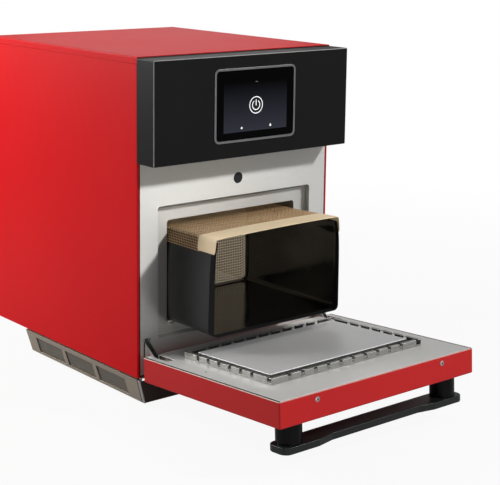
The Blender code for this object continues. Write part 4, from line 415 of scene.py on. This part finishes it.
# The front skirt's colour is the skirts' coat darkened: painted shade under the door.
front_skirt_painted_shade_coat, place = new_finish("front_skirt_painted_shade_coat", (0.045, 0.030, 0.026), 0.2, 0.3)
(0.14 + clouds(place, 8.0) * 0.1).feed("Roughness")
dress("plinth_front", front_skirt_painted_shade_coat, 0.0004)

filter_wire, place = new_finish("filter_wire", (0.16, 0.145, 0.12), 0.5, 0.6)
along, upward = place.axis(1), place.axis(2)
wire_pitch = 0.0050
rising = abs((along + upward) % wire_pitch / wire_pitch - 0.5) * 2.0
falling = abs((along - upward) % wire_pitch / wire_pitch - 0.5) * 2.0
wires = rising.math("MAXIMUM", rising, falling)
held = wires.node("MapRange", {"clamp": True}, {0: wires, 1: 0.42, 2: 0.62, 3: 0.0, 4: 1.0})
# Between the wires the filter is painted near black: painted shade of the space behind it.
between(held, (0.010, 0.009, 0.008), (0.27, 0.245, 0.205)).feed("Base Color")
held.feed("Metallic")
emboss(held, 0.0006)
for node in ("plinth_filter_left", "plinth_filter_right"):
    dress(node, filter_wire, 0.0001)

foot_rubber, place = new_finish("foot_rubber", (0.015, 0.015, 0.015), 0.7)
dust = clouds(place, 120.0, detail=4.0)
between(dust, (0.010, 0.010, 0.010), (0.035, 0.033, 0.030)).feed("Base Color")
(0.6 + dust * 0.2).feed("Roughness")
for node in ("foot_front_left", "foot_front_right", "foot_rear_left", "foot_rear_right"):
    dress(node, foot_rubber, 0.0008)


# Fascia: a folded box of 1.2 mm sheet with a fine-textured black powder coat, hung in front of the case.
# Its folds are painted pale along their edges as a painted highlight, and a silver rim frames the cut-out for the
# touch screen.
black_coat, place = new_finish("black_powder_coat", (0.005, 0.005, 0.005), 0.42, Specular_IOR_Level=0.13)
grit = clouds(place, 1100.0, detail=3.0)
low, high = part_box("fascia")
spot_x, spot_y, spot_z = [place.axis(i) for i in range(3)]
highlight_width = 0.0013
side_or_top = (abs(spot_x) > high.x - highlight_width) + (spot_z > high.z - highlight_width)
# A painted highlight: the fascia's front folds are painted pale grey.
painted_fold_highlight = (spot_y < low.y + highlight_width) * side_or_top * (0.5 + clouds(place, 60.0))
plain = between(clouds(place, 5.0), (0.004, 0.004, 0.0042), (0.007, 0.007, 0.0072))
between(painted_fold_highlight.math("MINIMUM", painted_fold_highlight, 1.0), plain, (0.30, 0.295, 0.29)).feed("Base Color")
(0.34 + grit * 0.16).feed("Roughness")
emboss(grit, 0.00009)
dress("fascia", black_coat, 0.0009)

rim_silver, place = new_finish("rim_silver", (0.34, 0.34, 0.35), 0.3, 1.0)
(0.24 + clouds(place, 700.0) * 0.14).feed("Roughness")
dress("screen_bezel", rim_silver, 0.0003)


# Screen: chemically hardened glass printed black round its edge, over a 7 inch colour display. The display
# is awake, with a dark picture that lightens downward, and shows a standby sign and two small signs.
glass_low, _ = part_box("touch_glass")
picture_half = 0.0762
picture_low, picture_high = 0.513, 0.605
screen_glass, place = new_finish("screen_glass", (0.002, 0.002, 0.002), 0.07, Emission_Strength=1.0,
                                 Specular_IOR_Level=0.03)
spot_x, spot_z = place.axis(0), place.axis(2)
lit = (abs(spot_x) < picture_half) * (spot_z > picture_low) * (spot_z < picture_high)
fall = (picture_high - spot_z) / (picture_high - picture_low)
between(fall * lit, (0.0, 0.0, 0.0), (0.028, 0.030, 0.042)).feed("Emission Color")
(0.05 + clouds(place, 30.0, detail=3.0) * 0.05).feed("Roughness")
dress("touch_glass", screen_glass, 0.0004)
dress("display_module", zinc_sheet, 0.0003)


def add_band(mesh, face_y, middle, inner, outer, start, stop, steps):
    """A flat ring or part of one on the glass, from angle start to stop, measured from straight up."""
    rows = []
    for i in range(steps + 1):
        angle = start + (stop - start) * i / steps
        way = Vector((math.sin(angle), 0.0, math.cos(angle)))
        centre = Vector((middle[0], face_y, middle[1]))
        rows.append((mesh.verts.new(centre + inner * way), mesh.verts.new(centre + outer * way)))
    for first, second in zip(rows, rows[1:]):
        mesh.faces.new((first[0], first[1], second[1], second[0]))


def add_patch(mesh, face_y, points):
    """A small flat shape on the glass, given by its corners."""
    mesh.faces.new([mesh.verts.new((x, face_y, z)) for x, z in points])


sign_light, place = new_finish("sign_light", (0.5, 0.5, 0.5), 0.4, Emission_Strength=1.0)
between(clouds(place, 300.0), (0.66, 0.66, 0.66), (0.74, 0.74, 0.75)).feed("Emission Color")
face_y = glass_low.y - 0.00006
middle = (0.0006, 0.5608)
stroke_half, stroke_low, stroke_high = 0.0009, middle[1] - 0.001, middle[1] + 0.0105
stroke_left, stroke_right = middle[0] - stroke_half, middle[0] + stroke_half
work = bmesh.new()
add_band(work, face_y, middle, 0.0146, 0.0162, 0.0, 2 * math.pi, 72)
add_band(work, face_y, middle, 0.0080, 0.0097, math.radians(32), math.radians(328), 48)
add_patch(work, face_y, [(stroke_left, stroke_low), (stroke_right, stroke_low),
                         (stroke_right, stroke_high), (stroke_left, stroke_high)])
add_band(work, face_y, (-0.0337, 0.520), 0.0010, 0.0026, 0.0, 2 * math.pi, 4)
add_band(work, face_y, (0.0362, 0.520), 0.0, 0.0021, 0.0, 2 * math.pi, 16)
add_patch(work, face_y, [(0.0347, 0.5208), (0.0377, 0.5208), (0.0362, 0.5240)])
bmesh.ops.remove_doubles(work, verts=work.verts, dist=0.000001)
ride_piece("screen_signs", plain_mesh("screen_signs", work), sign_light, "cabinet")

dim_light, place = new_finish("dim_sign_light", (0.2, 0.2, 0.2), 0.4, Emission_Strength=1.0)
between(clouds(place, 300.0), (0.07, 0.07, 0.07), (0.10, 0.10, 0.10)).feed("Emission Color")
work = bmesh.new()
mark_low, mark_high, mark_width = 0.6040, 0.6050, 0.0013
for x in (-0.0012, 0.0008, 0.0028):
    add_patch(work, face_y, [(x, mark_low), (x + mark_width, mark_low), (x + mark_width, mark_high), (x, mark_high)])
ride_piece("screen_status_mark", plain_mesh("screen_status_mark", work), dim_light, "cabinet")


# Hinges: a pressed steel bracket on each side of the frame, with a pin on which the door's knuckle plate
# turns. All are bright zinc-plated steel.
plated_steel, place = new_finish("plated_steel", (0.56, 0.56, 0.55), 0.28, 1.0)
handled = clouds(place, 80.0, detail=3.0)
between(handled, (0.46, 0.46, 0.45), (0.64, 0.64, 0.63)).feed("Base Color")
(0.2 + handled * 0.18).feed("Roughness")
for node in ("hinge_bracket_left", "hinge_bracket_right", "hinge_pin_left", "hinge_pin_right",
             "knuckle_left", "knuckle_right"):
    dress(node, plated_steel, 0.0003)


# Door: a red-coated shell like the case, 47 mm thick, closed by a brushed stainless inner sheet that sits
# inside its rim, over a foamed core. The rolled rim carries a painted highlight, the shell's corners have an
# open seam, and two socket screws hold it at its free edge. The inner sheet's side edges carry painted shade.
hinge = [joint for joint in frame["joints"] if joint["name"] == "door_hinge"][0]
pivot = Vector(hinge["pos_m"])
door_open = math.radians(hinge["range_deg"][1])
from_hinge = Vector((0.0, 0.0265, -0.0065))
hung = Matrix.Translation(pivot) @ Matrix.Rotation(door_open, 4, "X") @ Matrix.Translation(from_hinge)
to_door = hung.inverted()


def door_spot(spot, way):
    """How far a point of the open door lies along a way of its own: 1 is out of its sheet, 2 from its hinge."""
    return spot.axis(1) * to_door[way][1] + spot.axis(2) * to_door[way][2] + to_door[way][3]


shell_half, shell_length, shell_depth = 0.2345, 0.382, 0.047
door_coat, place = new_finish("red_door_coat", (0.49, 0.014, 0.015), 0.42, Specular_IOR_Level=0.2)
door_out, door_along = door_spot(place, 1), door_spot(place, 2)
# A painted highlight: the shell's rolled rim is painted pale.
painted_rim_highlight = (door_out > -0.0015) * (0.80 - (door_along > shell_length - 0.0008) * 0.40)
at_corner = (abs(place.axis(0)) > shell_half - 0.0009) * (door_along > shell_length - 0.0014)
corner_seam = at_corner * (door_out > 0.010 - shell_depth)
plain = between(orange_peel(place), (0.46, 0.012, 0.013), (0.52, 0.017, 0.018))
rim_highlighted = between(painted_rim_highlight, plain, (0.86, 0.74, 0.66))
between(corner_seam, rim_highlighted, (0.020, 0.003, 0.003)).feed("Base Color")

# Its side edges past x = 0.2298 are painted dark: painted shade.
door_steel = brushed("brushed_door_steel", (0.64, 0.635, 0.615), 0.46, 0.00002, 0.5, 0.2298)
dress("door_shell", door_coat, 0.0008)
dress("door_inner_panel", door_steel, 0.0004)
dress("door_core", wool, 0.001)

work = bmesh.new()
for x in (-0.1513, 0.1513):
    stand = hung @ Matrix.Translation((x, -0.0123, shell_length))
    add_screw(work, stand, 0.0036, 0.0010, flange=0.0013)
ride_screws("door_edge_screws", work, "door")

work = bmesh.new()
for x in (-0.2119, 0.2119):
    stand = hung @ Matrix.Translation((x, 0.0, 0.159)) @ Matrix.Rotation(math.radians(-90), 4, "X")
    add_screw(work, stand, 0.0022, 0.0008)
ride_screws("door_sheet_screws", work, "door")


# Choke: a ring of bent stainless fingers round a raised plate, which keeps the microwaves in when it
# goes into the sunk opening. Both are bright sheet, spot-welded to the door's inner sheet, and their walls
# carry painted shade under the top edge.
choke_steel = brushed("bright_choke_steel", (0.42, 0.42, 0.405), 0.32, 0.0000015, 0.88)
plate_steel = brushed("bright_plate_steel", (0.60, 0.60, 0.60), 0.42, 0.000006, 0.5)
top_edge = 0.0109
for steel, shade in ((choke_steel, (0.20, 0.20, 0.19)), (plate_steel, (0.07, 0.07, 0.065))):
    place = Wire(steel.node_tree, steel.node_tree.nodes["Texture Coordinate"], "Object")
    lit = Wire(steel.node_tree, steel.node_tree.nodes["Mix.001"], 2)
    # Painted shade: below the top edge the walls take the darker colour.
    between(door_spot(place, 1) < top_edge, lit, shade).feed("Base Color")
dress("choke_frame", choke_steel, 0.0002)
dress("choke_plate", plate_steel, 0.0006)


# Handle: a flat bar of glass-filled nylon on two round posts, bolted through the door's shell. Its waist
# is planed back along the free edge. The bar has a soft satin texture, and the posts are turned smoother.
handle_nylon, place = new_finish("handle_nylon", (0.009, 0.0105, 0.011), 0.34, Specular_IOR_Level=0.34)
skin = clouds(place, 900.0)
between(clouds(place, 30.0), (0.007, 0.0082, 0.0086), (0.012, 0.0138, 0.0142)).feed("Base Color")
(0.26 + skin * 0.16).feed("Roughness")
emboss(skin, 0.00004)
dress("handle_bar", handle_nylon, 0.0012)

post_nylon, place = new_finish("post_nylon", (0.0015, 0.0018, 0.0020), 0.26, Specular_IOR_Level=0.14)
turned = clouds(place, 700.0)
between(turned, (0.0012, 0.0014, 0.0016), (0.0020, 0.0023, 0.0026)).feed("Base Color")
(0.20 + turned * 0.10).feed("Roughness")
for node in ("handle_post_left", "handle_post_right"):
    dress(node, post_nylon, 0.0012)


# Liner shell: a tray folded from stiff black glass cloth with a slick coating, 0.8 mm thick. Its sides
# bow a little, their front edges are hemmed and lean in, and light picks out the folds of the floor.
liner_front, liner_back = -0.1855, 0.0965
liner_floor, liner_waist, liner_band, liner_top = 0.1555, 0.240, 0.3095, 0.3365
floor_half, waist_half, band_half, top_half = 0.1550, 0.1555, 0.1535, 0.1507
fold = 0.012
coated, place = new_finish("slick_black_cloth", (0.010, 0.0105, 0.0115), 0.34, Specular_IOR_Level=0.35)
weave_x = place.node("TexWave", {"wave_type": "BANDS", "bands_direction": "Y"}, {"Vector": place, "Scale": 260.0})
weave_z = place.node("TexWave", {"wave_type": "BANDS", "bands_direction": "Z"}, {"Vector": place, "Scale": 260.0})
scuffs = clouds(place, 22.0, detail=4.0)
between(scuffs, (0.014, 0.014, 0.015), (0.026, 0.0265, 0.028)).feed("Base Color")
(0.26 + scuffs * 0.16).feed("Roughness")
emboss(weave_x * 0.5 + weave_z * 0.5, 0.00003)

slick, place = new_finish("slick_black_inside", (0.002, 0.002, 0.0025), 0.14, Coat_Weight=0.25, Coat_Roughness=0.08)
creases = clouds(place, 16.0, detail=3.0)
(0.09 + creases * 0.10).feed("Roughness")
emboss(creases, 0.0009)

hem_cloth, place = new_finish("hemmed_black_cloth", (0.006, 0.006, 0.006), 0.55, Specular_IOR_Level=0.1)
thread = clouds(place, 260.0, (0.2, 1.0, 1.0))
between(thread, (0.004, 0.004, 0.004), (0.009, 0.009, 0.0095)).feed("Base Color")
(0.5 + thread * 0.2).feed("Roughness")


def liner_row(front_lean):
    """The liner's cross-section from under its roof down the left, over the floor and up the right."""
    half = [(top_half - 0.0020, liner_top - 0.0035), (top_half - 0.0014, liner_top - 0.012),
            (band_half - 0.0016, liner_band + 0.0025), (band_half - 0.0002, liner_band - 0.0015),
            (0.1545, 0.290), (0.1553, 0.265), (waist_half, liner_waist), (0.1556, 0.215)]
    for i in range(7):
        angle = math.radians(90.0 * i / 6)
        half.append((floor_half - fold + fold * math.cos(angle), liner_floor + fold - fold * math.sin(angle)))
    leaned = [(x - front_lean * min(1.0, max(0.0, (z - liner_floor) / 0.02)), z) for x, z in half]
    middle = [(x, liner_floor) for x in (0.1, 0.05)]
    left = [(-x, z) for x, z in leaned + middle]
    return left + [(0.0, liner_floor)] + [(-x, z) for x, z in reversed(left)]


def hem_depth(z):
    """How far back the hem reaches at this height."""
    return 0.019 - 0.04 * min(0.17, max(0.0, z - liner_floor))


# A station is a share of the hem's depth up to hem_end, and past it runs on to back_end at the liner's back.
hem_end, back_steps = 1.03, 10
back_end = hem_end + 0.9 * back_steps
wall_from = 0.12
work = bmesh.new()
stations = [0.0, 0.35, 0.97, hem_end] + [hem_end + 0.9 * i for i in range(1, back_steps + 1)]
rows = []
for share in stations:
    lean = 0.0022 * max(0.0, 1.0 - share) ** 0.8
    row = []
    for x, z in liner_row(lean):
        hem = hem_depth(z)
        y = liner_front + hem * min(share, hem_end)
        if share > hem_end:
            y += (liner_back - y) * (share - hem_end) / (back_end - hem_end)
        bow = abs(0.0004 * math.sin(31.0 * y + 17.0 * z)) if abs(x) > wall_from else 0.0
        row.append(work.verts.new((x - math.copysign(bow, x), y, z)))
    rows.append(row)
for depth, (first, second) in enumerate(zip(rows, rows[1:])):
    for i in range(len(first) - 1):
        work.faces.new((first[i], first[i + 1], second[i + 1], second[i])).material_index = 2 if depth < 2 else 0
made = finished_mesh("liner_shell_cloth", work, 60.0)
shell = ride_piece("liner_shell_cloth", made, coated, "liner")
made.materials.append(slick)
made.materials.append(hem_cloth)
thick = shell.modifiers.new("cloth", "SOLIDIFY")
thick.thickness = 0.0008
thick.offset = -1.0
thick.material_offset = 1
thick.material_offset_rim = 0
rounder = shell.modifiers.new("rounder", "SUBSURF")
rounder.levels = 1
rounder.render_levels = 1
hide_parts("liner_shell")


# Liner net: an open cloth of coated glass strands, about 5 mm from one to the next, stretched over the roof
# and welded down the sides and back. Each strand passes over one and under the next. The back panel is
# pale cream and the roof browner, partly their own colours and partly painted light on the back panel.
net_cloth, place = new_finish("net_cloth", (0.50, 0.34, 0.19), 0.42)
burn = clouds(place, 35.0, detail=3.0)
# The back panel's pale cream is partly painted light.
back_panel_painted_light = place.axis(1) > 0.0945
between(back_panel_painted_light, between(burn, (0.42, 0.25, 0.11), (0.62, 0.41, 0.21)), (0.94, 0.78, 0.56)).feed("Base Color")
(0.34 + clouds(place, 400.0) * 0.2).feed("Roughness")
emboss(clouds(place, 2500.0), 0.0001)


def add_strand(mesh, points, normals, half_width, half_thick):
    """A flat strand along these points, with its broad side across the normals."""
    rows = []
    for i, (point, normal) in enumerate(zip(points, normals)):
        ahead = points[min(i + 1, len(points) - 1)] - points[max(i - 1, 0)]
        side = ahead.cross(normal).normalized()
        rows.append([mesh.verts.new(point + side * half_width * a + normal * half_thick * b)
                     for a, b in ((-1, -0.35), (-0.5, -1), (0.5, -1), (1, -0.35), (0.5, 1), (-0.5, 1))])
    for first, second in zip(rows, rows[1:]):
        for i in range(6):
            j = (i + 1) % 6
            mesh.faces.new((first[i], first[j], second[j], second[i]))
    mesh.faces.new(rows[0][::-1])
    mesh.faces.new(rows[-1])


def add_net(mesh, surface, steps_u, steps_v, half_width, half_thick):
    """Weaves strands both ways over a surface that gives a point and its normal for each crossing."""
    swing = half_thick * 0.9
    grid = [[surface(u, v) for v in range(steps_v + 1)] for u in range(steps_u + 1)]
    for u in range(steps_u + 1):
        points = [grid[u][v][0] + grid[u][v][1] * swing * (1 if (u + v) % 2 else -1) for v in range(steps_v + 1)]
        add_strand(mesh, points, [grid[u][v][1] for v in range(steps_v + 1)], half_width, half_thick)
    for v in range(steps_v + 1):
        points = [grid[u][v][0] - grid[u][v][1] * swing * (1 if (u + v) % 2 else -1) for u in range(steps_u + 1)]
        add_strand(mesh, points, [grid[u][v][1] for u in range(steps_u + 1)], half_width, half_thick)


def roof_line(proud):
    """The roof's line from the foot of the left band over to the right, set out by proud."""
    corner = 0.006
    flat = top_half - corner
    line = [Vector((-band_half, 0.0, liner_band)), Vector((-top_half, 0.0, liner_top - corner))]
    for i in range(1, 5):
        angle = math.radians(180 - 22.5 * i)
        line.append(Vector((-flat + corner * math.cos(angle), 0.0, liner_top - corner + corner * math.sin(angle))))
    line += [Vector((-flat + 2 * flat * i / 12, 0.0, liner_top)) for i in range(1, 12)]
    line += [Vector((-p.x, 0.0, p.z)) for p in reversed(line[:6])]
    out = []
    for i, point in enumerate(line):
        ahead = line[min(i + 1, len(line) - 1)] - line[max(i - 1, 0)]
        normal = Vector((-ahead.z, 0.0, ahead.x)).normalized()
        out.append((point + normal * proud, normal))
    return out


def along_line(line, share):
    """The point and normal this share of the way along a line."""
    lengths = [0.0]
    for (first, _), (second, _) in zip(line, line[1:]):
        lengths.append(lengths[-1] + (second - first).length)
    reach = share * lengths[-1]
    for i in range(len(line) - 1):
        if reach <= lengths[i + 1] or i == len(line) - 2:
            part = (reach - lengths[i]) / (lengths[i + 1] - lengths[i])
            return line[i][0].lerp(line[i + 1][0], part), line[i][1].lerp(line[i + 1][1], part).normalized()


def roof_lift(point, y):
    """How much the stretched roof stands up here: most at its front right, and nothing at the oven's mouth."""
    forward = min(1.0, max(0.0, (-0.0585 - y) / 0.127))
    raised = min(1.0, max(0.0, (point.z - liner_band) / (liner_top - liner_band)))
    return (0.0040 + 0.0020 * point.x / top_half) * forward * raised


roof = roof_line(-0.0006)
net_start, net_end = liner_front + 0.045, liner_back - 0.0008
roof_steps, deep_steps = 74, 46
back_columns, back_rows = 64, 31
back_half, back_top = 0.1485, liner_top - 0.0012
strand_thick = 0.00028


def roof_surface(u, v):
    """A crossing of the roof's net, u steps across and v steps deep, and its normal."""
    point, normal = along_line(roof, u / roof_steps)
    y = net_start + (net_end - net_start) * v / deep_steps
    return Vector((point.x, y, point.z + roof_lift(point, y))), normal


def back_surface(u, v):
    """A crossing of the back's net, u steps across and v steps up, and its normal."""
    x = -back_half + 2 * back_half * u / back_columns
    low = liner_floor + 0.0065 + 0.005 * max(0.0, abs(x) / back_half - 0.95) / 0.05
    return Vector((x, net_end, low + (back_top - low) * v / back_rows)), Vector((0.0, 1.0, 0.0))


work = bmesh.new()
add_net(work, roof_surface, roof_steps, deep_steps, 0.00070, strand_thick)
add_net(work, back_surface, back_columns, back_rows, 0.00078, strand_thick)
net = ride_piece("liner_net", finished_mesh("liner_net", work, 50.0), net_cloth, "liner")
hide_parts("liner_mesh")


# Liner binding: a doubled strip of cream coated cloth, 53 mm deep, welded over the net's front edge and round
# its corners. It crowns a little in the middle and tucks in at its edges.
cream_cloth, place = new_finish("cream_coated_cloth", (0.78, 0.60, 0.38), 0.5)
twill = clouds(place, 500.0, (1.0, 1.0, 1.0), 3.0)
soiling = clouds(place, 14.0, detail=3.0)
between(soiling, (0.78, 0.59, 0.36), (0.92, 0.75, 0.50)).feed("Base Color")
(0.42 + twill * 0.2).feed("Roughness")
emboss(twill, 0.0001)

work = bmesh.new()
binding_line = roof_line(0.0003)
binding_start, binding_depth, binding_steps = liner_front - 0.0002, 0.0530, 12
rows = []
for i in range(binding_steps + 1):
    share = i / binding_steps
    edge = 1.0 - min(share, 1.0 - share) * binding_steps
    row = []
    for point, normal in binding_line:
        crown = 0.0016 * max(0.0, 1.0 - (point.x / top_half) ** 2) * (1.0 if point.z > liner_top - 0.004 else 0.0)
        tuck = -0.0004 * max(0.0, edge)
        y = binding_start + binding_depth * share
        row.append(work.verts.new(Vector((point.x, y, point.z + crown + roof_lift(point, y))) + normal * tuck))
    rows.append(row)
for first, second in zip(rows, rows[1:]):
    for i in range(len(first) - 1):
        work.faces.new((first[i], first[i + 1], second[i + 1], second[i]))
binding = ride_piece("liner_binding_cloth", finished_mesh("liner_binding_cloth", work, 60.0), cream_cloth, "liner")
thick = binding.modifiers.new("cloth", "SOLIDIFY")
thick.thickness = 0.0014
thick.offset = -1.0
rounder = binding.modifiers.new("rounder", "SUBSURF")
rounder.levels = 2
rounder.render_levels = 2
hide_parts("liner_binding")


# Stage: a wide floor and a room that the camera sees as white, and metal and glass as grey. The room lights
# the oven only weakly, and the floor keeps its shadow. A small key lamp, well up at the front right,
# throws the liner's shadow on the frame. Softer ones stand at the left rear, behind, low in front and overhead.
floor_finish, place = new_finish("pale_floor", (0.40, 0.40, 0.40), 0.9)
tree = floor_finish.node_tree
seen = place.node("LightPath", {}, {}, "Is Camera Ray")
mirrored = place.node("LightPath", {}, {}, "Is Glossy Ray")
through = place.node("LightPath", {}, {}, "Is Transmission Ray")
white = place.node("Emission", {}, {"Color": (1.0, 1.0, 1.0, 1.0), "Strength": 1.0})
away = place.node("VectorMath", {"operation": "LENGTH"}, {0: place}, 1)
near, far, near_white = 0.9, 2.2, 0.93
white_by = away.node("MapRange", {"clamp": True}, {0: away, 1: near, 2: far, 3: near_white, 4: 1.0})
share = seen.math("MINIMUM", seen + (mirrored + through) * 0.10, 1.0) * white_by
surface = tree.nodes["Principled BSDF"]
mixed = place.node("MixShader", {}, {0: share, 2: white})
tree.links.new(surface.outputs[0], mixed.socket.node.inputs[1])
tree.links.new(mixed.socket, tree.nodes["Material Output"].inputs["Surface"])
work = bmesh.new()
bmesh.ops.create_grid(work, x_segments=8, y_segments=8, size=9.0)
made = plain_mesh("floor", work)
made.materials.append(floor_finish)
floor = bpy.data.objects.new("floor", made)
bpy.context.scene.collection.objects.link(floor)

world = bpy.data.worlds.new("room")
bpy.context.scene.world = world
world.use_nodes = True
tree = world.node_tree
room = Wire(tree, tree.nodes.new("ShaderNodeLightPath"), "Is Camera Ray")
room_mirrored = room.node("LightPath", {}, {}, "Is Glossy Ray")
room_through = room.node("LightPath", {}, {}, "Is Transmission Ray")
seen = room.math("MINIMUM", room + (room_mirrored + room_through) * 0.28, 1.0)
room_light = 0.08
strength = room_light + (1.0 - room_light) * seen
tree.links.new(strength.socket, tree.nodes["Background"].inputs["Strength"])
tree.nodes["Background"].inputs["Color"].default_value = (1.0, 1.0, 1.0, 1.0)


def add_lamp(name, place, aim, size, power):
    """A square soft lamp at a place, turned to face another."""
    data = bpy.data.lights.new(name, "AREA")
    data.shape = "SQUARE"
    data.size = size
    data.energy = power
    lamp = bpy.data.objects.new(name, data)
    bpy.context.scene.collection.objects.link(lamp)
    way = Vector(aim) - Vector(place)
    lamp.matrix_world = Matrix.Translation(place) @ way.to_track_quat("-Z", "Y").to_matrix().to_4x4()


add_lamp("front_lamp", (1.72, -2.18, 2.30), (0.0, -0.1, 0.30), 0.3, 62.0)
add_lamp("left_lamp", (-1.15, 1.15, 1.10), (-0.2, 0.10, 0.5), 0.8, 35.0)
add_lamp("back_lamp", (1.75, 2.60, 1.10), (0.0, 0.1, 0.6), 1.2, 3.5)
add_lamp("fill_lamp", (-0.55, -2.60, 0.75), (0.0, -0.1, 0.30), 0.9, 20.0)
add_lamp("top_lamp", (0.90, -0.60, 2.60), (0.0, -0.2, 0.30), 0.6, 16.0)


# Camera: stands to the front left and a little above the oven, with the angle, distance and framing that
# the photograph's edges give, fitted again to a smaller shift than theirs.
yaw, pitch, roll = 0.694788, 0.183980, 0.013108
ahead = Vector((math.sin(yaw) * math.cos(pitch), math.cos(yaw) * math.cos(pitch), -math.sin(pitch)))
level = Vector((math.cos(yaw), -math.sin(yaw), 0.0))
above = level.cross(ahead)
right = math.cos(roll) * level + math.sin(roll) * above
top = -math.sin(roll) * level + math.cos(roll) * above
focal_pixels, picture_pixels, sensor = 1352.221, 500, 36.0
data = bpy.data.cameras.new("camera")
data.sensor_width = sensor
data.lens = sensor * focal_pixels / picture_pixels
data.shift_y = -0.14
camera = bpy.data.objects.new("camera", data)
bpy.context.scene.collection.objects.link(camera)
turned = Matrix((right, top, -ahead)).transposed().to_4x4()
camera.matrix_world = Matrix.Translation((-1.605562, -2.022882, 0.897222)) @ turned
bpy.context.scene.camera = camera
bpy.context.scene.view_settings.view_transform = "Standard"
